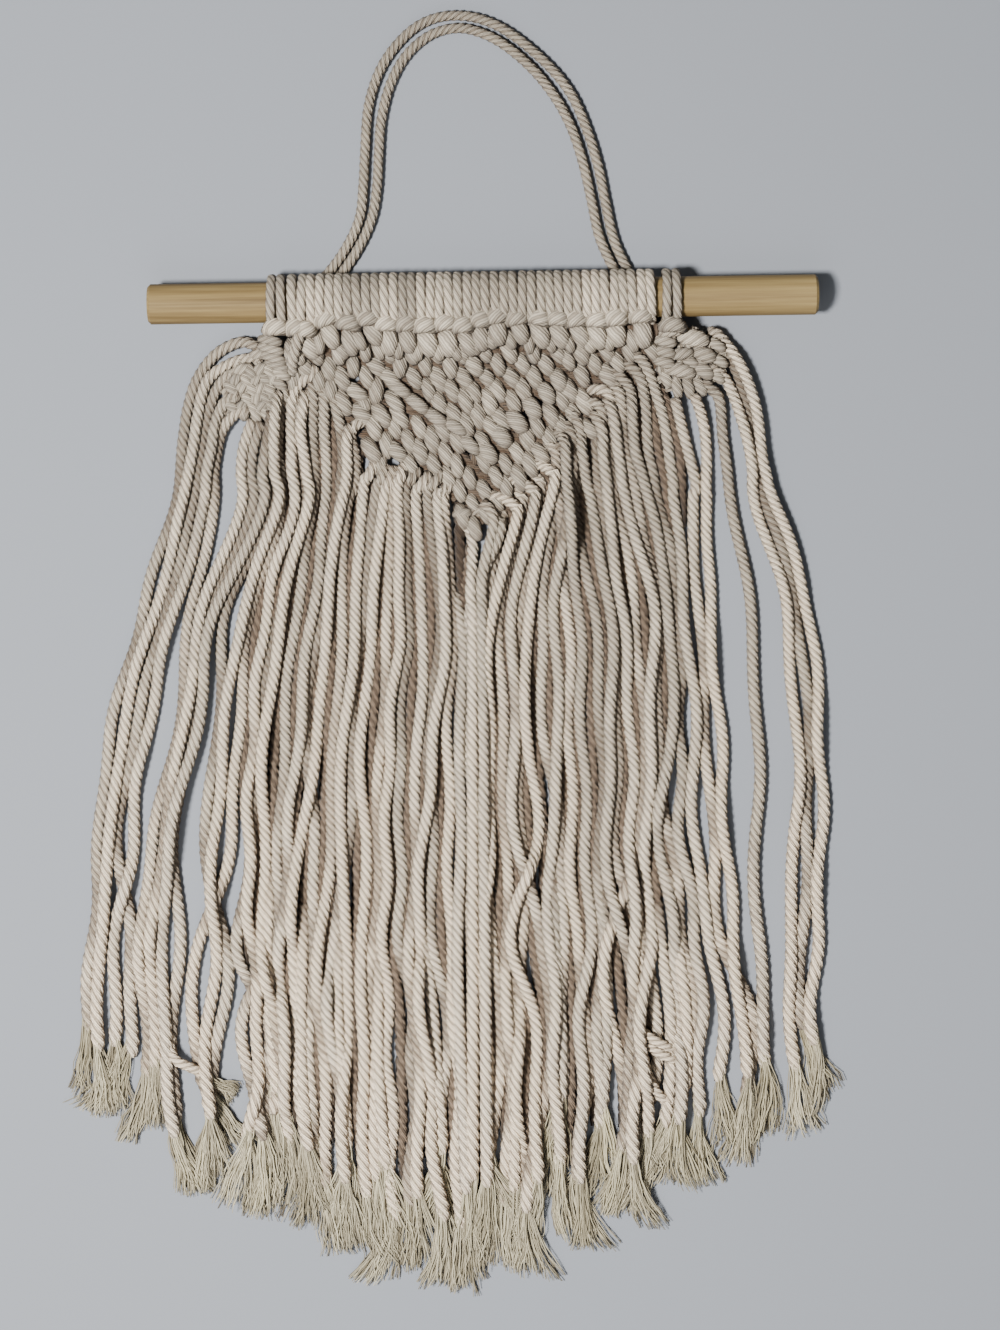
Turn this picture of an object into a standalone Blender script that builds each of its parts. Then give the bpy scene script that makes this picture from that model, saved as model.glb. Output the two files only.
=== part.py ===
"""Macrame wall hanging on a round wooden dowel, lying on its back.

Row frame: +X along the dowel to the right, +Y towards the hanging loop, +Z up from the surface that
the hanging lies on. The origin is on that surface, straight below the middle of the dowel. The
sizes below are in millimetres; the meshes are scaled to metres when they are made.
"""
import math

import bpy
import numpy as np
from mathutils import Vector
from mathutils.geometry import delaunay_2d_cdt

MM = 0.001

# ---- driving dimensions, in millimetres ----
DOWEL_LENGTH = 300.0
DOWEL_DIAMETER = 18.0
DOWEL_EDGE = 1.2            # eased edge at each end
DOWEL_SIDES = 48
CORD = 5.0                  # four-strand cotton cord
LAY_LENGTH = 13.5           # one full turn of the cord's twist
WRAP_THICKNESS = 3.6        # the cord is pressed flat where it is pulled round the wood
CLEARANCE = 0.35            # between pieces that lie against each other
FLAT_DEPTH = 0.25           # how far the wrapped cords are pressed flat on the surface

WRAP_RADIUS = DOWEL_DIAMETER / 2 + WRAP_THICKNESS
AXIS_HEIGHT = WRAP_RADIUS - FLAT_DEPTH

# ---- the mounting row: loops folded over the dowel ----
ROW_LEFT = -87.0            # left end of the main row
ROW_PAIRS = 20
ROW_PITCH = 8.2             # one folded cord is two passes wide
GROOVE = 0.9                # depth of the groove between two folded cords
PASS_GROOVE = 0.7           # share of it between the two passes of one cord
SIDES_ROUND = 12            # facets round the wrapped dowel
CROSSING_Y = -10.6          # the band that crosses the front of each loop
CROSSING_RISE = 7.6         # its height above the dowel's axis
CROSSING_HALF = (2.3, 3.3)  # half its thickness between the folded cords, and on each
CROSSING_INSET = 0.6        # it ends this far inside the row's ends
LEFT_MOUNT_X = -92.3        # middle of the single loop that carries the left wing
RIGHT_MOUNT_X = 84.3        # and of the one that carries the right wing
MOUNT_WIDTH = 9.0

# ---- the knotted V ----
PANEL_LEFT, PANEL_RIGHT = -86.8, 76.6
PANEL_TOP = -12.5            # just in front of the wrapped dowel
PANEL_CENTRE = -5.5         # the two arms of each row meet here
KNOT_PITCH = 6.2            # one knot along a row
KNOT_HEIGHT = 8.4           # over the crest of a knot
KNOT_LEAN = 0.5             # the crests lean along their row by this share of a knot
ROW_SPACING = 6.4
ROWS, KNOTS = 12, range(-4, 26)   # enough rows and knots to cover the largest patch
RIM_HEIGHT = 6.2
RIM_MARGIN = 1.1            # knots keep this far inside the rim
RIM_BULGE = 0.6             # the rim goes in and out by this
RIM_DIP = 0.8               # and up and down by this
GAP_MARGIN = 1.25           # knots keep outside a gap by this share of its size
# middle of each gap between the knots that is over 4 mm wide, and how far it reaches in x and y
PANEL_HOLES = (((-52.0, -51.5), (2.3, 4.0)), ((34.5, -52.5), (2.5, 3.8)))
LIFT_TOP = 6.0              # the panel climbs towards the dowel
LIFT_END = -34.0            # and lies flat from here down
LIFT_POWER = 1.5            # how suddenly it climbs
BEND_SPACING = 12.0         # points across the lower face where it starts to climb

# ---- the two bars along the edges of the V: upper end, lower end ----
LEFT_EDGE = ((-85.5, -37.5), (-11.5, -94.5))
RIGHT_EDGE = ((75.5, -31.5), (-3.0, -96.0))
EDGE_HALF = 3.4
EDGE_HEIGHT = 7.4
EDGE_NECK = 0.84            # a bar is this much thinner between its knots
EDGE_SECTION = ((-0.72, 0.0), (0.72, 0.0), (1.0, 0.42), (0.55, 1.0), (-0.55, 1.0), (-1.0, 0.42))

# ---- the fringe ----
STRAND_WIDTH = 4.7
STRAND_HEIGHT = 4.7
STRAND_TOP = 0.66           # a strand's top is this share of its width
STRAND_NARROW = 2.4         # its least width where its neighbours press it
STRAND_GAP = 0.45           # clear space kept between neighbours
STRAND_STEP = 44.0          # distance between the sections of a strand
SHOULDER = 36.0             # the first stretch, where a strand bends most, has closer sections
PATH_STEP = 1.5             # spacing of the points on a strand's path
LEAVE_EDGE = (1.6, -7.0)    # where a strand has turned downwards, outwards and down from its root
LEVEL_CLEAR = 12.0          # the next level that it follows is at least this much lower
WING_SHOULDER = (0.62, -0.16, -1.0)   # the same for a wing's strand: shares of its reach, and a drop
TUFT_LENGTH = 28.0
TUFT_HALF = 4.6             # half the width of a frayed end
TUFT_LAYER = 2.3            # the frayed ends lie in two layers, each this thick
TUFT_START = 3.0            # a strand is divided between the layers over this length
TUFT_TIP = 4.0              # the shortest stretch of full width
END_SWAY = 2.5              # the ends don't stop in one line

LEVELS = (-58.0, -103.0, -141.0, -200.0, -243.0, -288.0, -333.0)

# One row for each lock of strands, from left to right: the piece it belongs to, how many strands,
# where its first and last strand leave their edge (0 at the edge's upper end, 1 at the tip), the x of
# the first and last strand at each level that the lock reaches, and the x and y where they end.
LOCKS = (
    ("wing_left", 4, (0.00, 0.45), ((-132, -118), (-143, -129), (-156, -142), (-173, -156),
                                    (-177, -161), (-180, -163), (-184, -163)), (-185, -168), (-355, -364)),
    ("wing_left", 1, (0.60, 0.60), ((-112, -112), (-123, -123), (-135, -135), (-148, -148),
                                    (-154, -154), (-157, -157), (-157, -157)), (-159, -159), (-382, -382)),
    ("wing_left", 3, (0.72, 1.00), ((-107, -98), (-117, -105), (-128, -117), (-140, -131),
                                    (-148, -138), (-151, -140), (-151, -142)), (-151, -139), (-389, -397)),
    ("fringe_left", 3, (0.01, 0.11), ((-100, -90), (-110, -101), (-123, -113),
                                      (-130, -119), (-132, -121), (-135, -124)), (-132, -121), (-399, -400)),
    ("fringe_left", 3, (0.16, 0.26), ((-86, -78), (-95, -86), (-108, -97),
                                      (-112, -102), (-113, -102), (-112, -102)), (-115, -102), (-404, -407)),
    ("fringe_left", 7, (0.31, 0.60), ((-74, -49), (-81, -56), (-91, -62),
                                      (-95, -60), (-96, -60), (-96, -60)), (-96, -63), (-408, -431)),
    ("fringe_left", 3, (0.65, 0.74), ((-45, -37), (-51, -43), (-53, -42),
                                      (-52, -41), (-52, -41), (-54, -44)), (-57, -46), (-434, -437)),
    ("fringe_left", 5, (0.79, 0.98), ((-33, -16), (-38, -19), (-36, -14),
                                      (-35, -17), (-35, -18), (-38, -20)), (-40, -17), (-437, -440)),
    ("fringe_right", 8, (0.99, 0.64), ((-7, 25), (-7, 24), (-7, 26),
                                       (-10, 22), (-12, 19), (-14, 18)), (-11, 23), (-440, -427)),
    ("fringe_right", 3, (0.59, 0.49), ((31, 40), (31, 41), (32, 42),
                                       (28, 38), (25, 35), (24, 34)), (28, 39), (-423, -421)),
    ("fringe_right", 8, (0.44, 0.02), ((46, 80), (47, 80), (48, 82),
                                       (44, 80), (41, 79), (40, 79)), (45, 80), (-420, -405)),
    ("wing_right", 4, (1.00, 0.66), ((83, 100), (87, 102), (88, 103), (89, 105),
                                     (87, 105), (87, 108), (87, 113)), (89, 119), (-396, -383)),
    ("wing_right", 1, (0.54, 0.54), ((108, 108), (115, 115), (118, 118), (121, 121),
                                     (119, 119), (120, 120), (122, 122)), (129, 129), (-383, -383)),
    ("wing_right", 3, (0.40, 0.00), ((116, 126), (127, 137), (134, 145), (138, 149),
                                     (138, 149), (133, 146), (133, 145)), (138, 154), (-378, -359)),
)

# ---- the side wings: the line along which their strands leave, and their outlines from above,
# anticlockwise, as x and y ----
LEFT_WING_ROOTS = ((-104.0, -23.0), (-96.0, -49.0))
RIGHT_WING_ROOTS = ((102.0, -23.0), (86.0, -49.0))
LEFT_WING_OUTLINE = ((-97.5, -12.5), (-107.5, -22.0), (-109.5, -38.0), (-102.0, -51.0), (-92.0, -52.5),
                     (-89.0, -46.0), (-89.0, -30.0), (-89.5, -12.5))
RIGHT_WING_OUTLINE = ((80.0, -12.5), (79.2, -30.0), (80.5, -46.0), (86.0, -53.5), (97.0, -51.5),
                      (105.5, -41.0), (107.0, -27.0), (101.5, -18.0), (89.5, -12.5))
WING_SLOPE = -35.0          # degrees: the rows of knots run down towards the V

# ---- the hanging loop: two cords side by side, as x and y of hand-laid points ----
HANGER_HEIGHT = 2.5         # height of each cord's axis above the surface
HANGER_OUTER = ((-72.6, 10.3), (-62.5, 23.5), (-55.3, 38.0), (-53.2, 53.5), (-52.1, 70.0), (-50.2, 89.5),
                (-44.2, 106.5), (-34.0, 119.8), (-22.8, 127.2), (-10.3, 129.3), (2.6, 126.9), (15.6, 119.8),
                (30.8, 106.4), (41.2, 92.8), (48.0, 76.9), (52.8, 60.4), (55.9, 43.8), (59.8, 26.0),
                (67.0, 10.3))
HANGER_INNER = ((-66.0, 10.3), (-56.2, 24.3), (-49.6, 38.4), (-47.0, 53.0), (-46.0, 68.0), (-44.6, 83.0),
                (-40.4, 98.5), (-33.0, 111.5), (-22.4, 120.4), (-10.3, 123.6), (1.2, 121.2), (12.8, 114.6),
                (25.0, 103.4), (34.6, 90.6), (41.3, 77.2), (46.0, 62.0), (49.4, 46.0), (53.2, 27.6),
                (60.9, 10.3))
STEPS_PER_TURN = 6

COTTON = (0.62, 0.55, 0.45)
WOOD = (0.60, 0.41, 0.22)


# ---- helpers ----
def material(name, colour, roughness):
    """A Principled material, of one colour and roughness."""
    made = bpy.data.materials.new(name)
    made.use_nodes = True
    shader = made.node_tree.nodes["Principled BSDF"]
    shader.inputs["Base Color"].default_value = (*colour, 1.0)
    shader.inputs["Roughness"].default_value = roughness
    shader.inputs["Metallic"].default_value = 0.0
    return made


def add_mesh(name, points, faces, finish, parent=None):
    """A mesh object from points in millimetres."""
    mesh = bpy.data.meshes.new(name)
    mesh.from_pydata((np.asarray(points) * MM).tolist(), [], faces)
    mesh.validate()
    mesh.materials.append(finish)
    made = bpy.data.objects.new(name, mesh)
    bpy.context.collection.objects.link(made)
    made.parent = parent
    return made


def tube_faces(rings, sides, first=0):
    """Faces of a capped tube whose rings of points follow each other."""
    faces = []
    for ring in range(rings - 1):
        low = first + ring * sides
        for side in range(sides):
            after = (side + 1) % sides
            faces.append((low + side, low + after, low + sides + after, low + sides + side))
    faces.append(tuple(first + side for side in reversed(range(sides))))
    faces.append(tuple(first + (rings - 1) * sides + side for side in range(sides)))
    return faces


def smooth_path(points, step):
    """Points about one step apart on a smooth curve through the given points (Catmull-Rom)."""
    given = np.asarray(points, dtype=float)
    ahead = np.vstack([2 * given[0] - given[1], given, 2 * given[-1] - given[-2]])
    fine = []
    for index in range(len(given) - 1):
        before, start, end, after = ahead[index:index + 4]
        for part in np.linspace(0.0, 1.0, 24, endpoint=False):
            fine.append(0.5 * (2 * start + (end - before) * part
                               + (2 * before - 5 * start + 4 * end - after) * part ** 2
                               + (3 * start - before - 3 * end + after) * part ** 3))
    fine = np.vstack([fine, given[-1]])
    run = np.concatenate([[0.0], np.cumsum(np.linalg.norm(np.diff(fine, axis=0), axis=1))])
    places = np.linspace(0.0, run[-1], max(2, int(round(run[-1] / step)) + 1))
    return np.column_stack([np.interp(places, run, fine[:, axis]) for axis in range(given.shape[1])])


def sideways(path):
    """Unit vectors to the left of a plan path."""
    along = np.gradient(path[:, :2], axis=0)
    along /= np.linalg.norm(along, axis=1, keepdims=True)
    return np.column_stack([-along[:, 1], along[:, 0]])


def ribbon(path, half, low, high, top_share):
    """Four points at each place of a path: a flat-bottomed bar between the heights low and high."""
    left = sideways(path)
    rows = []
    for place, side, width, floor, roof in zip(path, left, half, low, high):
        foot, crown = side * width, side * width * top_share
        rows += [(*(place[:2] - foot), floor), (*(place[:2] + foot), floor),
                 (*(place[:2] + crown), roof), (*(place[:2] - crown), roof)]
    return rows, tube_faces(len(path), 4)


def knot_bar(start, end, half, height):
    """A row of knots: a six-sided bar, flat below, that swells and narrows at every knot."""
    start, end = np.asarray(start, dtype=float), np.asarray(end, dtype=float)
    knots = max(1, int(round(np.linalg.norm(end - start) / KNOT_PITCH)))
    rings = 2 * knots + 1
    path = start + (end - start) * np.linspace(0.0, 1.0, rings)[:, None]
    swell = np.where(np.arange(rings) % 2 == 1, 1.0, EDGE_NECK)
    rows = []
    for place, side, size in zip(path, sideways(path), swell):
        for across, up in EDGE_SECTION:
            plan = place - side * across * half * size
            rows.append((plan[0], plan[1], up * height * (size if up == 1.0 else 1.0)))
    return rows, [tuple(reversed(face)) for face in tube_faces(rings, len(EDGE_SECTION))]


def fuse(name, base, others):
    """One closed body from a base object and the bodies that grow into it."""
    group = bpy.data.collections.new(name + "_group")
    for other in others:
        bpy.context.collection.objects.unlink(other)
        group.objects.link(other)
    union = base.modifiers.new("fuse", "BOOLEAN")
    union.operation = "UNION"
    union.solver = "EXACT"
    union.operand_type = "COLLECTION"
    union.collection = group
    bpy.context.view_layer.update()
    whole = bpy.data.meshes.new_from_object(base.evaluated_get(bpy.context.evaluated_depsgraph_get()))
    base.modifiers.clear()
    base.data = whole
    base.name = name
    for other in list(others):
        bpy.data.objects.remove(other)
    bpy.data.collections.remove(group)
    return base


# ---- the dowel ----
def build_dowel(finish, parent):
    """A turned rod along X with an eased edge at each end."""
    mesh = bpy.data.meshes.new("dowel")
    radius, reach, edge = DOWEL_DIAMETER / 2, DOWEL_LENGTH / 2, DOWEL_EDGE
    profile = ((-reach, radius - edge), (-reach + edge, radius), (reach - edge, radius),
               (reach, radius - edge))
    turn = np.arange(DOWEL_SIDES) * 2 * math.pi / DOWEL_SIDES
    points = [(x, r * math.cos(angle), r * math.sin(angle)) for x, r in profile for angle in turn]
    mesh.from_pydata((np.array(points) * MM).tolist(), [], tube_faces(len(profile), DOWEL_SIDES))
    mesh.materials.append(finish)
    mesh.shade_smooth()
    mesh.set_sharp_from_angle(angle=math.radians(40))
    dowel = bpy.data.objects.new("dowel", mesh)
    bpy.context.collection.objects.link(dowel)
    dowel.location = (0.0, 0.0, AXIS_HEIGHT * MM)
    dowel.parent = parent
    return dowel


# ---- loops round the dowel ----
def loop_sleeve(name, left, pairs, pass_width, finish, parent):
    """Passes of cord side by side round the dowel, with a groove between each two."""
    bore = (DOWEL_DIAMETER / 2 + CLEARANCE) / math.cos(math.pi / SIDES_ROUND)
    turn = -math.pi / 2 + (np.arange(SIDES_ROUND) + 0.5) * 2 * math.pi / SIDES_ROUND
    places = left + np.arange(4 * pairs + 1) * pass_width / 2
    points = []
    for index, x in enumerate(places):
        crest = index % 2 == 1
        between_pairs = index % 4 == 0
        radius = WRAP_RADIUS if crest else WRAP_RADIUS - GROOVE * (1.0 if between_pairs else PASS_GROOVE)
        for side, angle in enumerate(turn):
            y, z = radius * math.cos(angle), AXIS_HEIGHT + radius * math.sin(angle)
            if side in (0, SIDES_ROUND - 1):
                y, z = math.copysign(WRAP_RADIUS * math.sin(math.pi / SIDES_ROUND), y), 0.0
            points.append((x, y, z))
    outer = len(points)
    for x in (places[0], places[-1]):
        points += [(x, bore * math.cos(angle), AXIS_HEIGHT + bore * math.sin(angle)) for angle in turn]
    faces = tube_faces(len(places), SIDES_ROUND)[:-2]
    last = (len(places) - 1) * SIDES_ROUND
    for side in range(SIDES_ROUND):
        after = (side + 1) % SIDES_ROUND
        faces.append((outer + after, outer + side, outer + SIDES_ROUND + side, outer + SIDES_ROUND + after))
        faces.append((after, side, outer + side, outer + after))
        faces.append((last + side, last + after, outer + SIDES_ROUND + after, outer + SIDES_ROUND + side))
    return add_mesh(name, points, faces, finish, parent)


def crossing_band(left, pairs, pitch, finish):
    """The bands that cross the front of the loops, one swelling for each folded cord."""
    rings = 2 * pairs + 1
    points = []
    for index in range(rings):
        x = left + index * pitch / 2
        half = CROSSING_HALF[index % 2]
        for corner in range(6):
            angle = corner * math.pi / 3
            points.append((x, CROSSING_Y + half * math.cos(angle),
                           AXIS_HEIGHT + CROSSING_RISE + half * math.sin(angle)))
    return add_mesh("crossing", points, tube_faces(rings, 6), finish)


def build_loops(name, left, pairs, pitch, finish, parent):
    """A row of folded cords: their passes round the dowel, with the band that crosses them in front."""
    sleeve = loop_sleeve(name, left, pairs, pitch / 2, finish, parent)
    shorter = pitch - 2 * CROSSING_INSET / pairs
    return fuse(name, sleeve, [crossing_band(left + CROSSING_INSET, pairs, shorter, finish)])


# ---- the knotted V ----
def lift(y):
    """How far the panel is raised at this y: nothing below LIFT_END, most beside the dowel."""
    share = np.clip((y - LIFT_END) / (PANEL_TOP - LIFT_END), 0.0, 1.0)
    return LIFT_TOP * share ** LIFT_POWER


def panel_outline():
    """The five corners of the knotted V seen from above, anticlockwise from its top left."""
    offset = EDGE_HALF + CLEARANCE
    sides = []
    for (upper, lower), facing in ((LEFT_EDGE, 1.0), (RIGHT_EDGE, -1.0)):
        upper, lower = np.array(upper), np.array(lower)
        run = (lower - upper) / np.linalg.norm(lower - upper)
        inward = np.array([-run[1], run[0]]) * facing
        sides.append((upper + inward * offset, run, inward))
    (left_point, left_run, _), (right_point, right_run, _) = sides
    reach = np.linalg.solve(np.column_stack([left_run, -right_run]), right_point - left_point)
    apex = left_point + left_run * reach[0]
    low_left = left_point + left_run * (PANEL_LEFT - left_point[0]) / left_run[0]
    low_right = right_point + right_run * (PANEL_RIGHT - right_point[0]) / right_run[0]
    corners = [(PANEL_LEFT, PANEL_TOP), tuple(low_left), tuple(apex), tuple(low_right),
               (PANEL_RIGHT, PANEL_TOP)]
    return np.array(corners), sides


def depth_inside(corners, point):
    """How far a point lies inside an anticlockwise convex outline."""
    depth = []
    for start, end in zip(corners, np.roll(corners, -1, axis=0)):
        run = (end - start) / np.linalg.norm(end - start)
        depth.append(run[0] * (point[1] - start[1]) - run[1] * (point[0] - start[0]))
    return min(depth)


def knot_lattice(corners, arms, holes):
    """Points on the knots: a crest on each, and the dips between it and its neighbours.

    Each arm is its first point, the directions along and across its rows, and its side of the
    centre line (0 where the rows cover the whole patch).
    """
    parts = ((0.5, 0.5, KNOT_HEIGHT), (0.0, 0.5, KNOT_HEIGHT - 1.5),
             (0.5, 0.0, KNOT_HEIGHT - 1.9), (0.0, 0.0, KNOT_HEIGHT - 2.6))
    points = []
    for origin, run, inward, facing in arms:
        for row in range(ROWS):
            for knot in KNOTS:
                for along, across, height in parts:
                    lean = (across - 0.5) * KNOT_LEAN
                    place = (origin + run * (knot + along + lean + 0.5 * (row % 2)) * KNOT_PITCH
                             + inward * (row + across) * ROW_SPACING)
                    if (place[0] - PANEL_CENTRE) * facing > -RIM_BULGE * abs(facing):
                        continue
                    if depth_inside(corners, place) < RIM_MARGIN:
                        continue
                    if any(np.linalg.norm((place - hole) / reach) < GAP_MARGIN for hole, reach in holes):
                        continue
                    points.append((place[0], place[1], height))
    return points


def rim_points(corners):
    """Points round the outline, in and out by turns where the knots bulge."""
    points = []
    for start, end in zip(corners, np.roll(corners, -1, axis=0)):
        run = end - start
        steps = 2 * max(1, int(round(np.linalg.norm(run) / KNOT_PITCH)))
        inward = np.array([-run[1], run[0]]) / np.linalg.norm(run)
        for step in range(steps):
            between = step % 2
            place = start + run * step / steps + inward * RIM_BULGE * between
            points.append((place[0], place[1], RIM_HEIGHT - RIM_DIP * between))
    return points


def hole_points(hole, reach):
    """The rim of a gap between knots, clockwise."""
    turn = -np.arange(8) * math.pi / 4
    return [(hole[0] + reach[0] * math.cos(angle), hole[1] + reach[1] * math.sin(angle), RIM_HEIGHT)
            for angle in turn]


def triangulate(loops, inner, holes):
    """Triangles between the outer loop and the holes, using the inner points too."""
    points = [point for loop in loops for point in loop] + inner
    edges, first = [], 0
    for loop in loops:
        edges += [(first + n, first + (n + 1) % len(loop)) for n in range(len(loop))]
        first += len(loop)
    outer = list(range(len(loops[0])))
    result = delaunay_2d_cdt([Vector(point[:2]) for point in points], edges, [outer], 1, 1e-5)
    origin = [sources[0] for sources in result[3]]
    faces = []
    for face in result[2]:
        middle = sum((result[0][n] for n in face), Vector((0.0, 0.0))) / len(face)
        if any(((middle.x - hole[0]) / reach[0]) ** 2 + ((middle.y - hole[1]) / reach[1]) ** 2 < 0.9
               for hole, reach in holes):
            continue
        faces.append([origin[n] for n in face])
    return points, faces


def knotted_patch(name, corners, arms, holes, finish, parent):
    """A patch of knots: crests and dips above, a plain face below, and walls round its rim."""
    loops = [rim_points(corners)] + [hole_points(*hole) for hole in holes]
    upper, upper_faces = triangulate(loops, knot_lattice(corners, arms, holes), holes)
    bends = [(x, y, 0.0) for y in (LIFT_END, (LIFT_END + PANEL_TOP) / 2)
             for x in np.arange(corners[:, 0].min() + 2 * BEND_SPACING / 3, corners[:, 0].max()
                                - BEND_SPACING / 3, BEND_SPACING)
             if depth_inside(corners, (x, y)) > 2 * RIM_MARGIN]
    lower, lower_faces = triangulate(loops, bends, holes)
    points = [(x, y, z + lift(y)) for x, y, z in upper] + [(x, y, lift(y)) for x, y, z in lower]
    below = len(upper)
    faces = [tuple(face) for face in upper_faces]
    faces += [tuple(below + n for n in reversed(face)) for face in lower_faces]
    first = 0
    for loop in loops:
        for n in range(len(loop)):
            here, after = first + n, first + (n + 1) % len(loop)
            faces.append((here, below + here, below + after, after))
        first += len(loop)
    return add_mesh(name, points, faces, finish, parent)


def build_panel(finish, parent):
    """The knotted V, whose rows follow its two edges and meet at the centre line."""
    corners, sides = panel_outline()
    arms = [(*side, facing) for side, facing in zip(sides, (1.0, -1.0))]
    return knotted_patch("knotted_panel", corners, arms, PANEL_HOLES, finish, parent)


def wing_patch(name, outline, facing, finish, parent):
    """The knotted patch of a side wing, whose rows run down towards the V."""
    corners = np.array(outline)
    slope = math.radians(WING_SLOPE)
    run = np.array([math.cos(slope) * facing, math.sin(slope)])
    inward = np.array([-run[1], run[0]]) * facing
    middle = corners.mean(axis=0)
    origin = middle - run * 10 * KNOT_PITCH - inward * ROWS / 2 * ROW_SPACING
    return knotted_patch(name, corners, [(origin, run, inward, 0.0)], (), finish, parent)


# ---- fringe ----
def between(pair, share):
    """The value this share of the way from the first of a pair to the second."""
    first, last = np.array(pair[0], dtype=float), np.array(pair[1], dtype=float)
    return first + (last - first) * share


def plan_strands():
    """Every strand's root, its x at each level, and its end, from the rows of LOCKS."""
    edges = {"fringe_left": LEFT_EDGE, "fringe_right": RIGHT_EDGE,
             "wing_left": LEFT_WING_ROOTS, "wing_right": RIGHT_WING_ROOTS}
    strands = []
    for piece, count, roots, spans, end_x, end_y in LOCKS:
        for number in range(count):
            share = number / (count - 1) if count > 1 else 0.5
            levels = LEVELS[len(LEVELS) - len(spans):]
            root = between(edges[piece], between(roots, share))
            drawn = [(between(span, share), y) for y, span in zip(levels, spans)]
            end = (between(end_x, share), between(end_y, share) + END_SWAY * math.sin(5.1 * len(strands)))
            strands.append({"piece": piece, "root": root, "levels": drawn, "end": end})
    return strands


def strand_path(strand):
    """The plan path of a strand: out of its edge, down through its levels, to its end."""
    root, levels = strand["root"], strand["levels"]
    side = -1.0 if strand["piece"].endswith("left") else 1.0
    if strand["piece"].startswith("wing"):
        out = abs(levels[0][0] - root[0])
        across, down, drop = WING_SHOULDER
        knots = [root, root + np.array([side * out * across, down * out + drop])] + levels
    else:
        leave = root + np.array([side * LEAVE_EDGE[0], LEAVE_EDGE[1]])
        knots = [root, leave] + [place for place in levels if place[1] < leave[1] - LEVEL_CLEAR]
    return smooth_path(knots + [strand["end"]], PATH_STEP)


def neighbour_gap(place, other):
    """The distance from each place of one path to the nearest point of another."""
    return np.min(np.linalg.norm(place[:, None, :] - other[None, :, :], axis=2), axis=1)


def section_places(rope, is_wing):
    """The places of a strand's sections: close on the shoulder, and STRAND_STEP apart below it."""
    shoulder = min(int(SHOULDER / PATH_STEP), len(rope) // 3)
    count = max(5, int(round((len(rope) - shoulder) * PATH_STEP / STRAND_STEP)) + 1)
    near = np.linspace(0, shoulder, 4 if is_wing else 2, endpoint=False)
    chosen = np.concatenate([near, np.linspace(shoulder, len(rope) - 1, count)])
    return rope[np.unique(chosen.round().astype(int))]


def build_strands(finish):
    """All the strands, as bodies to be fused into their edges, by the name of the piece.

    The last three sections of each are its frayed end, in the lower or the upper of two layers by
    turns, so that an end is wider than its strand and still clear of its neighbours' ends.
    """
    strands = plan_strands()
    paths = [strand_path(strand) for strand in strands]
    tuft_top = [path[-1, 1] + TUFT_LENGTH for path in paths]
    made = {}
    for index, (strand, path) in enumerate(zip(strands, paths)):
        beside = [n for n in (index - 1, index + 1) if 0 <= n < len(paths)]
        fray, tip = tuft_top[index], path[-1, 1]
        full = min([fray] + [tuft_top[n] for n in beside]) - TUFT_START
        full = max(min(full, fray - TUFT_START - 0.5), tip + TUFT_TIP)
        tuft_y = (fray - TUFT_START, full, tip)
        tuft = [(np.interp(-y, -path[:, 1], path[:, 0]), y) for y in tuft_y]
        is_wing = strand["piece"].startswith("wing")
        places = np.vstack([section_places(path[path[:, 1] > fray], is_wing), tuft])
        room = np.min([neighbour_gap(places, paths[n]) for n in beside], axis=0)
        half = np.clip((room - STRAND_GAP) / 2, STRAND_NARROW / 2, STRAND_WIDTH / 2)
        half[-1] = min(TUFT_HALF, np.min(room[-3:]) - STRAND_GAP / 2)
        low, high = np.zeros(len(places)), np.full(len(places), STRAND_HEIGHT)
        layer = index % 2 * (TUFT_LAYER + CLEARANCE)
        low[-3:], high[-3:] = layer, layer + TUFT_LAYER
        points, faces = ribbon(places, half, low, high, STRAND_TOP)
        made.setdefault(strand["piece"], []).append(add_mesh("strand", points, faces, finish))
    return made


def edge_bar(name, edge, finish, parent):
    """The row of knots along an edge of the V."""
    points, faces = knot_bar(edge[0], edge[1], EDGE_HALF, EDGE_HEIGHT)
    return add_mesh(name, points, faces, finish, parent)


def build_fringes(finish, parent):
    """The strands fused into what they hang from: an edge of the V, or a wing."""
    strands = build_strands(finish)
    for name, edge in (("fringe_left", LEFT_EDGE), ("fringe_right", RIGHT_EDGE)):
        fuse(name, edge_bar(name, edge, finish, parent), strands[name])
    fuse("wing_left", wing_patch("wing_left", LEFT_WING_OUTLINE, 1.0, finish, parent), strands["wing_left"])
    fuse("wing_right", wing_patch("wing_right", RIGHT_WING_OUTLINE, -1.0, finish, parent),
         strands["wing_right"])


# ---- the hanging loop ----
def build_hanger(name, route, finish, parent):
    """A cord whose square section turns once in each lay length, as four twisted strands do."""
    path = smooth_path(route, LAY_LENGTH / STEPS_PER_TURN)
    left = sideways(path)
    turn = np.arange(len(path)) * 2 * math.pi / STEPS_PER_TURN
    radius = CORD / 2 - 0.05
    points = []
    for place, side, angle in zip(path, left, turn):
        for corner in range(4):
            about = angle + corner * math.pi / 2
            plan = place + side * radius * math.cos(about)
            points.append((plan[0], plan[1], HANGER_HEIGHT + radius * math.sin(about)))
    return add_mesh(name, points, tube_faces(len(path), 4), finish, parent)


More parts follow.
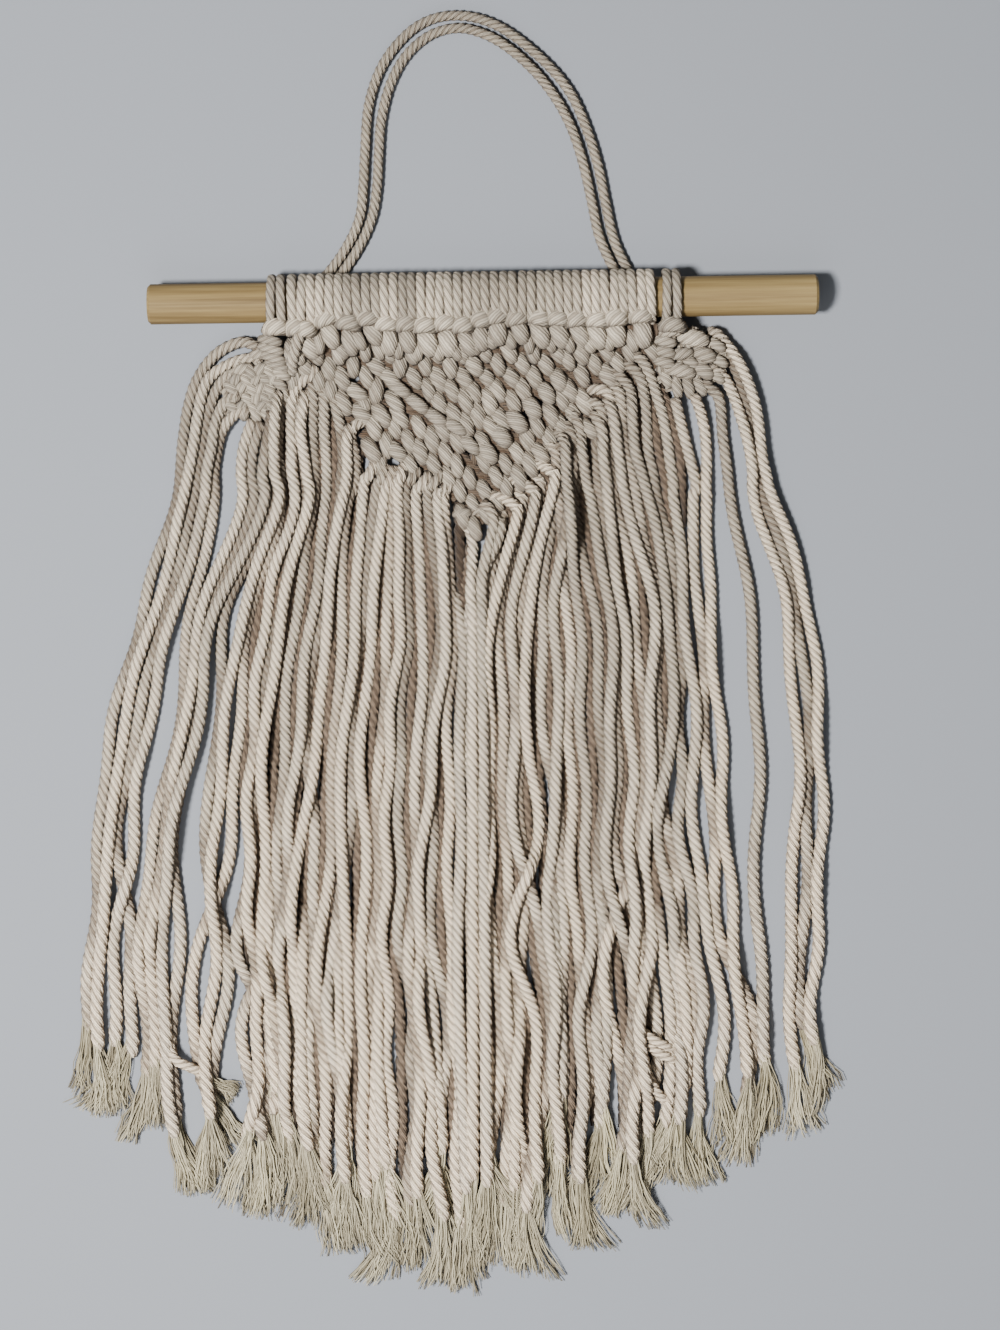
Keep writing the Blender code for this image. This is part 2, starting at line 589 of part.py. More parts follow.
def main():
    """Builds every piece under one empty."""
    for old in list(bpy.data.objects):
        bpy.data.objects.remove(old)
    hanging = bpy.data.objects.new("hanging", None)
    bpy.context.collection.objects.link(hanging)
    cotton = material("natural_cotton_cord", COTTON, 0.9)
    wood = material("pale_softwood", WOOD, 0.6)

    build_dowel(wood, hanging)
    build_loops("lark_heads", ROW_LEFT, ROW_PAIRS, ROW_PITCH, cotton, hanging)
    build_loops("left_mount", LEFT_MOUNT_X - MOUNT_WIDTH / 2, 1, MOUNT_WIDTH, cotton, hanging)
    build_loops("right_mount", RIGHT_MOUNT_X - MOUNT_WIDTH / 2, 1, MOUNT_WIDTH, cotton, hanging)
    build_panel(cotton, hanging)
    build_fringes(cotton, hanging)
    build_hanger("hanger_outer", HANGER_OUTER, cotton, hanging)
    build_hanger("hanger_inner", HANGER_INNER, cotton, hanging)


main()
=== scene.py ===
# %% [markdown]
# # A macrame wall hanging on a wooden dowel
# The hanging lies on its back on a pale floor. Cotton cord is folded over a wooden dowel in a row of
# lark's heads, knotted into a V with a small wing at each side, and left as a long fringe whose ends
# are frayed into brushes. The solid model comes first and stays fixed. Every piece below is cord, so
# almost everything is one idea used again: a lobed profile carried along a path while it turns.

# %% Load the fixed frame
import math
import random

import bpy
import numpy as np
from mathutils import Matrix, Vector


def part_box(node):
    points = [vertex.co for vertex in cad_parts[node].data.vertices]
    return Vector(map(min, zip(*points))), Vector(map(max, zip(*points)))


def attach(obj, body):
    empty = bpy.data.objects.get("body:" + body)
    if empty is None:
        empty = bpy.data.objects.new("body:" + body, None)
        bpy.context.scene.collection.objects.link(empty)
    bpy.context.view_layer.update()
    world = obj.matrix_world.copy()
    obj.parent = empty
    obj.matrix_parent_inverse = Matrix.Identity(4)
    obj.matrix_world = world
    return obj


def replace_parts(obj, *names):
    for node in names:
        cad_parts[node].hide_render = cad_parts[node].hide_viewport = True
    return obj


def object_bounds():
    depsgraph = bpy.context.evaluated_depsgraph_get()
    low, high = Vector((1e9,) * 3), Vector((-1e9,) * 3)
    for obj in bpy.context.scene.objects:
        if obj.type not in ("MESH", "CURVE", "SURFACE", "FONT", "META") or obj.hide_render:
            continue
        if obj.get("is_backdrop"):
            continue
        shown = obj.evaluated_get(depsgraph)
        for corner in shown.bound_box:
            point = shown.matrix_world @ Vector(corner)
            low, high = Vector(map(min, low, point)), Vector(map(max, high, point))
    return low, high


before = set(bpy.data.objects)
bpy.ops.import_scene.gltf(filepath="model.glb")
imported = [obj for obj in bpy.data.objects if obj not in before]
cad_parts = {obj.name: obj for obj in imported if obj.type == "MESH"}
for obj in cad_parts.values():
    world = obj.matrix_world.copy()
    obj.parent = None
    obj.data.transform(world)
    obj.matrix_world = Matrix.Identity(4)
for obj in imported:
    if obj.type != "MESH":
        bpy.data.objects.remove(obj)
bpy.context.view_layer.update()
MM = 0.001
BODY = "root"

# %% [markdown]
# ## The camera
# The hanging is seen from straight above. The frame covers 450 by 598.5 mm of the floor, so the lens
# follows from the camera's height: half the frame's long side over the distance is the tangent of
# half the angle of view. The dowel is a little askew in the frame, which is a small roll.

# %% Camera
VIEW_HEIGHT = 598.5                       # of the surface, in millimetres
VIEW_CENTRE = (5.2, -163.9)
CAMERA_HEIGHT = 1500.0
FOCUS_HEIGHT = 6.0                        # the scale is right at the height of the fringe
SENSOR = 36.0
ROLL = math.radians(-0.86)

camera_data = bpy.data.cameras.new("camera")
camera_data.sensor_width = SENSOR
camera_data.lens = SENSOR / 2 * (CAMERA_HEIGHT - FOCUS_HEIGHT) / (VIEW_HEIGHT / 2)
camera_data.clip_start, camera_data.clip_end = 0.05, 20.0
camera = bpy.data.objects.new("camera", camera_data)
bpy.context.collection.objects.link(camera)
camera.location = (VIEW_CENTRE[0] * MM, VIEW_CENTRE[1] * MM, CAMERA_HEIGHT * MM)
camera.rotation_euler = (0.0, 0.0, ROLL)
bpy.context.scene.camera = camera
print("lens, mm:", round(camera_data.lens, 1))

# %% [markdown]
# ## Helpers for meshes
# A piece is worked out as whole arrays of points and faces, in millimetres, and put into Blender at
# the end. Each cord carries three things for its finish: a UV map that runs round and along it, a
# tone of its own, and how bright each point is painted: painted shade in the grooves between its
# strands, on its underside and where it dives. A Blender curve with a bevel profile and a tilt could
# twist too, but it has nowhere to keep the tone and the painted shade.

# %% Paths
CURVE_POINTS = 24        # points worked out between two given ones, before they are spaced evenly
STEP = 1.5               # from one ring of a cord to the next, mm
rng = np.random.default_rng(7)         # the same chance at each run


def smooth_path(points, step):
    """Points one step apart on a smooth curve through the given ones: a Catmull-Rom spline, which is
    for each stretch a cubic of its two ends and their two neighbours, then spaced evenly by length."""
    given = np.asarray(points, dtype=float)
    ahead = np.vstack([2 * given[0] - given[1], given, 2 * given[-1] - given[-2]])
    t = np.linspace(0.0, 1.0, CURVE_POINTS, endpoint=False)[None, :, None]
    before, start, end, after = (ahead[n:len(given) - 1 + n, None, :] for n in range(4))
    fine = 0.5 * (2 * start + (end - before) * t + (2 * before - 5 * start + 4 * end - after) * t ** 2
                  + (3 * start - before - 3 * end + after) * t ** 3)
    fine = np.vstack([fine.reshape(-1, given.shape[1]), given[-1]])
    run = np.concatenate([[0.0], np.cumsum(np.linalg.norm(np.diff(fine, axis=0), axis=1))])
    places = np.linspace(0.0, run[-1], max(2, int(round(run[-1] / step)) + 1))
    return np.column_stack([np.interp(places, run, fine[:, axis]) for axis in range(given.shape[1])])


def unit(vectors):
    """The same directions at length 1: each vector over its length, which is kept above zero."""
    return vectors / np.maximum(np.linalg.norm(vectors, axis=-1, keepdims=True), 1e-9)


def length_of(path):
    """A path's length: the sum of the distances from each point to the next."""
    return float(np.linalg.norm(np.diff(path, axis=0), axis=1).sum())


def any_phase(count=None):
    """An angle by chance from nothing to a full turn, or several."""
    return rng.uniform(0, 6.28, count)


print("a straight path of 9 mm has", len(smooth_path(((0.0, 0.0), (9.0, 0.0)), STEP)), "rings")


# %% Putting a piece into Blender
def add_piece(name, parts, finish):
    """One object from several parts, each a dict of points, quads, tris, the quads' UVs, tone and
    crest, how bright each point is painted, lower in painted shade. A part's faces count its own points,
    so the number of points before it is added."""
    counts = [len(part["points"]) for part in parts]
    firsts = np.cumsum([0] + counts[:-1])
    points = np.vstack([part["points"] for part in parts]) * MM
    quads = np.vstack([part["quads"] + first for part, first in zip(parts, firsts)])
    tris = np.vstack([part["tris"] + first for part, first in zip(parts, firsts)])
    uv = np.vstack([part["quad_uv"] for part in parts] + [np.zeros((tris.size, 2))])
    tone = np.repeat([part["tone"] for part in parts], counts)
    crest = np.concatenate([part["crest"] for part in parts])
    corners = np.concatenate([quads.ravel(), tris.ravel()]).astype(np.int32)
    starts = np.concatenate([np.arange(len(quads)) * 4, len(quads) * 4 + np.arange(len(tris)) * 3])
    mesh = bpy.data.meshes.new(name)
    mesh.vertices.add(len(points))
    mesh.vertices.foreach_set("co", points.astype(np.float32).ravel())
    mesh.loops.add(len(corners))
    mesh.loops.foreach_set("vertex_index", corners)
    mesh.polygons.add(len(starts))
    mesh.polygons.foreach_set("loop_start", starts.astype(np.int32))
    mesh.update(calc_edges=True)
    layer = mesh.uv_layers.new(name="along_cord")
    layer.data.foreach_set("uv", uv.astype(np.float32).ravel())
    for label, values in (("tone", tone), ("crest", crest)):
        attribute = mesh.attributes.new(label, "FLOAT", "POINT")
        attribute.data.foreach_set("value", values.astype(np.float32))
    mesh.polygons.foreach_set("use_smooth", np.ones(len(starts), dtype=bool))
    mesh.validate()
    mesh.materials.append(finish)
    made = bpy.data.objects.new(name, mesh)
    bpy.context.collection.objects.link(made)
    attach(made, BODY)
    print(f"{name}: {len(parts)} lengths, {2 * len(quads) + len(tris)} triangles")
    return made


print("every piece rides on the body", BODY)

# %% Twisted cord
LAY_LENGTH = 13.5        # one turn of the four strands, mm
CORD_RADIUS = 2.5
# how deep the groove is at each point of the ring from one strand to the next, as a share
LOBE_DEPTH = {2: (1.0, 0.0), 3: (1.0, 0.0, 0.0), 4: (1.0, 0.3, 0.0, 0.3)}
# painted shade: a ring's lower half and a cord's flat end are painted darker, towards the groove's brown
UNDERSIDE = 0.3          # how bright a ring's lower half is, which neighbours hide from the sky
END_PAINTED_LIGHT = 0.3          # how bright the flat end of a cord is


def tube_faces(rings, around):
    """The quads between neighbouring rings of a tube. A corner's number is its ring times the points
    round a ring, plus its spot on the ring, and both are given too: one spot further is the seam."""
    ring, spot = np.meshgrid(np.arange(rings - 1), np.arange(around), indexing="ij")
    ring = np.stack([ring, ring + 1, ring + 1, ring], axis=-1)
    spot = np.stack([spot, spot, spot + 1, spot + 1], axis=-1)
    return ring * around + spot % around, ring, spot


def rope(path, side, radius=CORD_RADIUS, lay=LAY_LENGTH, lobes=4, per_lobe=4, groove=0.26, phase=0.0,
         wide=1.0, high=1.0, swell=1.0, tone=0.5, painted_ring_light=1.0, dark=0.75, lines=1.0):
    """A twisted cord. At each place of the path stands a ring of points, whose distance from the
    centre is the radius on the strands and less by the groove's share between them; the ring has
    turned by a full circle after one lay length, which may change along the path. side is the
    direction to the path's right, so that the ring's top is up. wide and high press the ring flat,
    swell is its size along the path, dark how much painted shade darkens a groove, fade how bright
    whole rings are painted, darker as painted shade where they dive, and lines is how often the
    pattern of yarns goes round."""
    path = np.asarray(path, dtype=float)
    count, around = len(path), lobes * per_lobe
    ahead = unit(np.gradient(path, axis=0))
    side = np.broadcast_to(np.asarray(side, dtype=float), path.shape)
    side = unit(side - ahead * np.sum(side * ahead, axis=1, keepdims=True))
    up = np.cross(side, ahead)
    run = np.concatenate([[0.0], np.cumsum(np.linalg.norm(np.diff(path, axis=0), axis=1))])
    spots = np.arange(around)
    depth = np.tile(LOBE_DEPTH[per_lobe], lobes)
    turned = np.cumsum(np.gradient(run) / np.broadcast_to(lay, count))
    angle = 2 * math.pi * (spots[None, :] / around + turned[:, None]) + phase
    reach = radius * (1 - groove * depth)[None, :] * np.broadcast_to(swell, count)[:, None]
    points = (path[:, None, :] + side[:, None, :] * (np.cos(angle) * reach * wide)[:, :, None]
              + up[:, None, :] * (np.sin(angle) * reach * high)[:, :, None])
    points = np.vstack([points.reshape(-1, 3), path[0], path[-1]])
    quads, ring, spot = tube_faces(count, around)
    quad_uv = np.stack([spot * lines / around, run[ring] / LAY_LENGTH], axis=-1).reshape(-1, 2)
    tail, last = count * around, (count - 1) * around
    first_cap = np.stack([np.full(around, tail), spots, (spots + 1) % around], axis=-1)
    last_cap = np.stack([np.full(around, tail + 1), last + (spots + 1) % around, last + spots], axis=-1)
    tris = np.vstack([first_cap, last_cap])
    # painted shade: the underside, the grooves and whole diving rings are painted darker; 1 is fully lit
    open_sky = UNDERSIDE + (1 - UNDERSIDE) * np.clip((np.sin(angle) - 0.05) / 0.55, 0.0, 1.0)
    shown = np.broadcast_to(painted_ring_light, count)[:, None] * (1 - dark * depth)[None, :] * open_sky
    crest = np.concatenate([shown.ravel(), [END_PAINTED_LIGHT, END_PAINTED_LIGHT]])
    return {"points": points, "quads": quads.reshape(-1, 4), "tris": tris, "quad_uv": quad_uv,
            "tone": tone, "crest": crest}


print("rings to a turn:", LAY_LENGTH / STEP)

# %% Loose yarns
UV_SHIFT = 0.37          # from one yarn to the next, so that no two have the same pattern


def yarns(paths, radius, tone, shade):
    """Thin three-sided yarns, all with the same number of rings, which shrink by a quarter to the
    tip. paths is yarn, ring, xyz, and shade is how bright each ring is painted, darker in painted shade."""
    count, rings, _ = paths.shape
    ahead = unit(np.gradient(paths, axis=1))
    side = unit(np.cross(ahead, (0.3, 0.2, 1.0)))
    up = np.cross(side, ahead)
    angle = np.arange(3) * 2 * math.pi / 3
    size = radius * np.linspace(1.0, 0.75, rings)[None, :, None, None]
    points = paths[:, :, None, :] + size * (side[:, :, None, :] * np.cos(angle)[:, None]
                                            + up[:, :, None, :] * np.sin(angle)[:, None])
    quads, ring, spot = tube_faces(rings, 3)
    yarn = np.arange(count)[:, None, None, None]
    first, last = yarn.reshape(-1, 1) * rings * 3, (yarn.reshape(-1, 1) + 1) * rings * 3
    tris = np.vstack([first + (0, 1, 2), last - (1, 2, 3)])
    u = spot / 3 + yarn * UV_SHIFT
    quad_uv = np.stack([u, np.broadcast_to(ring / rings, u.shape)], axis=-1).reshape(-1, 2)
    crest = np.broadcast_to(shade[:, :, None], (count, rings, 3)).ravel()
    return {"points": points.reshape(-1, 3), "quads": (yarn * rings * 3 + quads).reshape(-1, 4),
            "tris": tris, "quad_uv": quad_uv, "tone": tone, "crest": crest}


print("points round a cord:", [4 * per_lobe for per_lobe in LOBE_DEPTH], "and round a yarn: 3")

# %% [markdown]
# ## Finishes
# Natural cotton cord is spun from unbleached yarn and twisted in four strands. Its fibres catch light
# softly, so it has no gloss at all but a faint fuzz of sheen. It looks darker and browner in the
# grooves, where light goes in and doesn't come out, and that shade is painted into its colour as a brown,
# with painted shade too on undersides and where cords dive, and on the lines between yarns. Each length
# is from another part of the ball, so each has a tone of its own. The pattern of yarns is worked out
# from the cord's own UV map, so that it follows every bend. The dowel is planed softwood, pale with
# fine lengthwise grain.

# %% Material helpers
def colour(code):
    """A linear colour from an sRGB hex code: below a small value a share of it, above it a power."""
    parts = [int(code[n:n + 2], 16) / 255 for n in (1, 3, 5)]
    return tuple(p / 12.92 if p <= 0.04045 else ((p + 0.055) / 1.055) ** 2.4 for p in parts) + (1.0,)


def node(tree, kind, settings=None, **links):
    """Adds one node, applies its settings, and joins or sets its inputs by name or number."""
    made = tree.nodes.new(kind)
    for key, value in (settings or {}).items():
        setattr(made, key, value)
    for key, value in links.items():
        socket = made.inputs[int(key[1:])] if key[0] == "_" else made.inputs[key.replace("_", " ")]
        if isinstance(value, bpy.types.NodeSocket):
            tree.links.new(value, socket)
        else:
            socket.default_value = value
    return made


def new_material(name, roughness, specular, sheen=0.0):
    """A material with its node tree and its shader, whose even values are set on the shader itself."""
    made = bpy.data.materials.new(name)
    made.use_nodes = True
    shader = made.node_tree.nodes["Principled BSDF"]
    shader.inputs["Roughness"].default_value = roughness
    shader.inputs["Specular IOR Level"].default_value = specular
    shader.inputs["Sheen Weight"].default_value = sheen
    shader.inputs["Sheen Roughness"].default_value = 0.6
    return made, made.node_tree, shader


def ramp(tree, factor, stops):
    """A colour ramp: pairs of a place from 0 to 1 and a hex code, blended evenly between."""
    made = node(tree, "ShaderNodeValToRGB", Fac=factor)
    band = made.color_ramp
    while len(band.elements) < len(stops):
        band.elements.new(0.5)
    for element, (place, code) in zip(band.elements, stops):
        element.position, element.color = place, colour(code)
    return made.outputs["Color"]


print("mid grey is", round(colour("#808080")[0], 3))

# %% Cotton cord and frayed yarn
YARNS_ROUND = 13          # yarns round the cord, drawn coarser than they are, so that they show
BANDS = math.pi / 10      # the scale at which a wave texture repeats once over a length of 1
PATCH = 70.0              # patches of tone about 14 mm long
YARN_RELIEF = 0.0003      # height of a yarn, in metres


def cotton(name, stops, painted_shade_code, bump, yarn_dark):
    """Unbleached cotton: matt, with a soft edge of fuzz. Its cream is mixed with a brown by the crest
    attribute, as painted shade in the grooves, on undersides and where cords dive. The ramp's input is
    the length's own tone and half a noise in patches, less 0.35 and less 1.6 times its place up the
    hanging in metres, so it is warmer and paler lower down: partly painted light, for the lower end lies
    in brighter light, and partly the cord's own tone."""
    made, tree, shader = new_material(name, roughness=0.92, specular=0.15, sheen=0.08)
    tone = node(tree, "ShaderNodeAttribute", {"attribute_name": "tone"}).outputs["Fac"]
    crest = node(tree, "ShaderNodeAttribute", {"attribute_name": "crest"}).outputs["Fac"]
    place = node(tree, "ShaderNodeTexCoord")
    patches = node(tree, "ShaderNodeTexNoise", Vector=place.outputs["Object"], Scale=PATCH, Detail=2.0)
    drift = node(tree, "ShaderNodeMath", {"operation": "MULTIPLY_ADD"}, _0=patches.outputs["Fac"], _1=0.5,
                 _2=tone)
    height = node(tree, "ShaderNodeSeparateXYZ", Vector=place.outputs["Object"])
    # partly painted light: paler and warmer lower down, where the light is brighter, and partly the cord's
    # own tone
    warmer = node(tree, "ShaderNodeMath", {"operation": "MULTIPLY_ADD"}, _0=height.outputs["Y"], _1=-1.6,
                  _2=-0.35)
    shade = node(tree, "ShaderNodeMath", {"operation": "ADD"}, _0=drift.outputs[0], _1=warmer.outputs[0])
    base = ramp(tree, shade.outputs[0], stops)
    lines = node(tree, "ShaderNodeTexWave", {"bands_direction": "X"}, Vector=place.outputs["UV"],
                 Scale=YARNS_ROUND * BANDS, Distortion=4.0, Detail=3.0, Detail_Scale=1.6)
    # painted shade: the lines between yarns are painted darker, down to yarn_dark, beside their real bump
    yarn_shade = node(tree, "ShaderNodeMapRange", Value=lines.outputs["Fac"], _1=0.05, _2=0.6, _3=yarn_dark,
                      _4=1.03)
    # painted shade: where crest is low, the groove's brown is mixed into the cream
    groove = node(tree, "ShaderNodeMapRange", Value=crest, _1=0.0, _2=0.9, _3=0.0, _4=1.0)
    painted_shade_mix = node(tree, "ShaderNodeMix", {"data_type": "RGBA"}, _0=groove.outputs[0], _6=colour(painted_shade_code),
                _7=base)
    lit = node(tree, "ShaderNodeMix", {"data_type": "RGBA", "blend_type": "MULTIPLY"}, _0=1.0,
               _6=painted_shade_mix.outputs[2], _7=yarn_shade.outputs[0])
    tree.links.new(lit.outputs[2], shader.inputs["Base Color"])
    relief = node(tree, "ShaderNodeBump", Height=lines.outputs["Fac"], Strength=bump,
                  Distance=YARN_RELIEF)
    tree.links.new(relief.outputs[0], shader.inputs["Normal"])
    return made


CREAM_STOPS = ((0.0, "#a79d8d"), (0.4, "#ccc0ac"), (0.7, "#f4e4cc"), (1.0, "#ffebcf"))
FRAYED_STOPS = ((0.0, "#c3b995"), (0.5, "#d0c6a3"), (1.0, "#ded4b5"))
# painted shade: the cord's cream as it looks in shade, browner and darker
SHADED_STOPS = ((0.0, "#5e4e42"), (0.5, "#7a6858"), (1.0, "#8e7b68"))
cord_cotton = cotton("natural_cotton_cord", CREAM_STOPS, "#4d3b2c", 1.0, 0.62)
frayed_cotton = cotton("frayed_cotton_yarn", FRAYED_STOPS, "#5a4e3c", 0.0, 0.97)
# painted shade: the same cord painted brown where its neighbours hide it from the sky, as cream looks once
# light has bounced
painted_shade_cotton = cotton("natural_cotton_cord_in_shade", SHADED_STOPS, "#2a2018", 1.0, 0.7)
print("cotton finishes:", cord_cotton.name, frayed_cotton.name, painted_shade_cotton.name)

# %% [markdown]
# ## The hanging loop
# Two lengths of cord come out between the passes on the dowel's far side and run side by side in one
# wide loop, which hangs on a nail. They are the only free cords here, and the length of each is
# printed. They lie flat on the surface, and go back under the dowel at the other end. A cord
# that was simulated would find a course of its own, so theirs is given by points and made smooth.

# %% Hanging loop
HANGER_HEIGHT = 2.5       # of the cords' centres above the surface, half their thickness
HANGER_RADIUS = CORD_RADIUS - 0.02
HANGER_OUTER = ((-72.6, 10.3), (-62.5, 23.5), (-55.3, 38.0), (-53.2, 53.5), (-52.1, 70.0), (-50.2, 89.5),
                (-44.2, 106.5), (-34.0, 119.8), (-22.8, 127.2), (-10.3, 129.3), (2.6, 126.9), (15.6, 119.8),
                (30.8, 106.4), (41.2, 92.8), (48.0, 76.9), (52.8, 60.4), (55.9, 43.8), (59.8, 26.0),
                (67.0, 10.3))
HANGER_INNER = ((-66.0, 10.3), (-56.2, 24.3), (-49.6, 38.4), (-47.0, 53.0), (-46.0, 68.0), (-44.6, 83.0),
                (-40.4, 98.5), (-33.0, 111.5), (-22.4, 120.4), (-10.3, 123.6), (1.2, 121.2), (12.8, 114.6),
                (25.0, 103.4), (34.6, 90.6), (41.3, 77.2), (46.0, 62.0), (49.4, 46.0), (53.2, 27.6),
                (60.9, 10.3))


def level_side(path):
    """The level direction to the right of a path, as unit vectors."""
    ahead = np.gradient(np.asarray(path, dtype=float), axis=0)
    return unit(np.column_stack([ahead[:, 1], -ahead[:, 0], np.zeros(len(ahead))]))


for label, route in (("outer", HANGER_OUTER), ("inner", HANGER_INNER)):
    centre = smooth_path(route, STEP)
    centre = np.column_stack([centre, np.full(len(centre), HANGER_HEIGHT)])
    twisted = rope(centre, level_side(centre), HANGER_RADIUS, tone=0.35)
    cord_piece = add_piece("hanging_cord_" + label, [twisted], cord_cotton)
    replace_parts(cord_piece, "hanger_" + label)
    print(label, "cord:", round(length_of(centre)), "mm long")

# %% [markdown]
# ## The dowel
# The solid model's own dowel has the right shape, so it stays and only gets a finish: pale planed
# softwood. The grain runs along the dowel, so its noise is stretched along X and tight across. It
# reads Object coordinates, because the dowel's mesh has no UV map.

# %% Softwood on the dowel
SOFTWOOD_STOPS = ((0.0, "#58462b"), (0.4, "#7d6944"), (0.7, "#907c52"), (1.0, "#a59064"))
STREAKS = (9.0, 320.0, 320.0)          # to a metre: streaks 110 mm long and 3 mm wide, finer in detail
BANDS_OF_GROWTH = (3.0, 60.0, 60.0)    # to a metre: bands 330 mm long and 17 mm wide
GRAIN_RELIEF = 0.0003                  # in metres


def softwood(name):
    """Planed softwood, sanded but unvarnished: a dull shine, and streaks within broader bands."""
    made, tree, shader = new_material(name, roughness=0.62, specular=0.2)
    place = node(tree, "ShaderNodeTexCoord")
    stretched = node(tree, "ShaderNodeMapping", Vector=place.outputs["Object"], Scale=STREAKS)
    streaks = node(tree, "ShaderNodeTexNoise", Vector=stretched.outputs[0], Scale=1.0, Detail=4.0,
                   Roughness=0.6)
    broad = node(tree, "ShaderNodeMapping", Vector=place.outputs["Object"], Scale=BANDS_OF_GROWTH)
    bands = node(tree, "ShaderNodeTexNoise", Vector=broad.outputs[0], Scale=1.0, Detail=1.0)
    mixed = node(tree, "ShaderNodeMath", {"operation": "MULTIPLY_ADD"}, _0=bands.outputs["Fac"], _1=0.9,
                 _2=streaks.outputs["Fac"])
    spread = node(tree, "ShaderNodeMapRange", Value=mixed.outputs[0], _1=0.65, _2=1.25, _3=0.0, _4=1.0)
    tree.links.new(ramp(tree, spread.outputs[0], SOFTWOOD_STOPS), shader.inputs["Base Color"])
    relief = node(tree, "ShaderNodeBump", Height=streaks.outputs["Fac"], Strength=0.25,
                  Distance=GRAIN_RELIEF)
    tree.links.new(relief.outputs[0], shader.inputs["Normal"])
    return made


pale_softwood = softwood("pale_softwood")
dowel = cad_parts["dowel"]
for material_slot in dowel.material_slots:
    material_slot.material = pale_softwood
dowel_low, dowel_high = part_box("dowel")
AXIS_HEIGHT = (dowel_low.z + dowel_high.z) / 2 / MM
DOWEL_RADIUS = (dowel_high.z - dowel_low.z) / 2 / MM
print("dowel axis at", round(AXIS_HEIGHT, 2), "mm, radius", round(DOWEL_RADIUS, 2))

# %% [markdown]
# ## The mounting row
# Every cord is folded in two, laid over the dowel and pulled through its own fold: a lark's head. From
# the front it shows two passes over the wood, and below them the fold that crosses both. Each pass is
# a cord round the dowel, pressed narrower by its neighbours; the fold is a short bight that rises,
# crosses and dips again.

# %% Passes over the dowel
ROW_LEFT, ROW_PAIRS, ROW_PITCH = -87.0, 20, 8.2
PASS_HALF_WIDTH = 2.34                 # pressed by its neighbours
SINGLE_MOUNTS = (-92.3, 84.3)          # the loops that carry the wings
MOUNT_WIDTH, MOUNT_HALF_WIDTH = 9.0, 2.2
HALF_THICK = 1.72                      # of a pass, pressed by the pull
GAP_TO_WOOD = 0.35
REACH = DOWEL_RADIUS + GAP_TO_WOOD + HALF_THICK          # from the dowel's axis to a pass's middle
TURNED = np.radians(np.linspace(-118.0, 236.0, 50))      # nearly once round, seen from the side


def pass_over(x, lean, wide, tone):
    """One pass: a circle round the dowel's axis that drifts sideways by the lean as it goes round."""
    path = np.column_stack([x - lean * np.cos(TURNED), REACH * np.cos(TURNED),
                            AXIS_HEIGHT + REACH * np.sin(TURNED)])
    return rope(path, (-1.0, 0.0, 0.0), radius=1.0, lay=19.0, phase=any_phase(), wide=wide,
                high=HALF_THICK, groove=0.2, tone=tone)


passes, pass_tone = [], rng.uniform(0.15, 0.75, ROW_PAIRS + 2)
for pair in range(ROW_PAIRS):
    for leg in (-1, 1):
        x = ROW_LEFT + (pair + 0.5) * ROW_PITCH + leg * ROW_PITCH / 4 + rng.normal(0, 0.12)
        passes.append(pass_over(x, rng.normal(0.15, 0.3), PASS_HALF_WIDTH, pass_tone[pair]))
row_passes = add_piece("row_of_passes", passes, cord_cotton)
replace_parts(row_passes, "lark_heads")
for label, x, tone in zip(("left_mount", "right_mount"), SINGLE_MOUNTS, pass_tone[ROW_PAIRS:]):
    parts = [pass_over(x + leg * MOUNT_WIDTH / 4, 0.25 * leg, MOUNT_HALF_WIDTH, tone) for leg in (-1, 1)]
    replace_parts(add_piece(label + "_passes", parts, cord_cotton), label)

# %% [markdown]
# ## Bights: the grain of a knot
# A knot seen from above is a short bight: cord that comes up, crosses its neighbour and dives again.
# So one function makes it from a place, a direction, a length and a width. The path is a flat arch
# and the cord swells at its crown, which gives the rice-grain look of packed half hitches. Each cord
# could be drawn on its whole way through the knots instead, but most of that way is hidden.

# %% Bights
BIGHT_PLACES = np.linspace(-1.0, 1.0, 13)
BIGHT_LOBES = 5          # strands round a bight


def bight(x, y, z, direction, length, width, arch, tone, fibre=48.0, thick=0.85, bend=0.0, groove=0.07,
          rise=0.9, dark=0.4, edge=1.2):
    """A short arched length of cord, direction in degrees from +X, z the height of its crown. Along
    it t goes from -1 to 1: the height follows the root of 1 less t squared, times the arch, and so
    does the width, but less. Its far end stays higher than its near one by twice the rise. fibre is
    its lay length, bend bows it sideways, and a larger edge paints its ends darker sooner, as painted
    shade where they dive."""
    t = BIGHT_PLACES
    heading = math.radians(direction)
    run = np.array([math.cos(heading), math.sin(heading), 0.0])
    across = np.array([-run[1], run[0], 0.0])
    arc = np.sqrt(1 - (0.98 * t) ** 2)
    path = np.array([x, y, z - width * thick / 2]) + np.outer(t * length / 2, run)
    path += np.outer(bend * arc, across)
    path[:, 2] += arch * (arc - 1) + rise * t
    swell = 0.28 + 0.72 * arc ** 0.75
    # painted shade: the bight's ends are painted darker, where they dive
    return rope(path, -across, radius=width / 2, lay=fibre, lobes=BIGHT_LOBES, per_lobe=3, groove=groove,
                phase=any_phase(), high=thick, swell=swell, tone=tone, dark=dark, painted_ring_light=0.95 * arc ** edge,
                lines=1.2)


print("rings in a bight:", len(BIGHT_PLACES))

# %% Folds across the passes
FOLD_HEIGHT = 24.0
FOLD_DROP, FOLD_LEAN, FOLD_WIDTH = 3.6, 2.0, 8.3
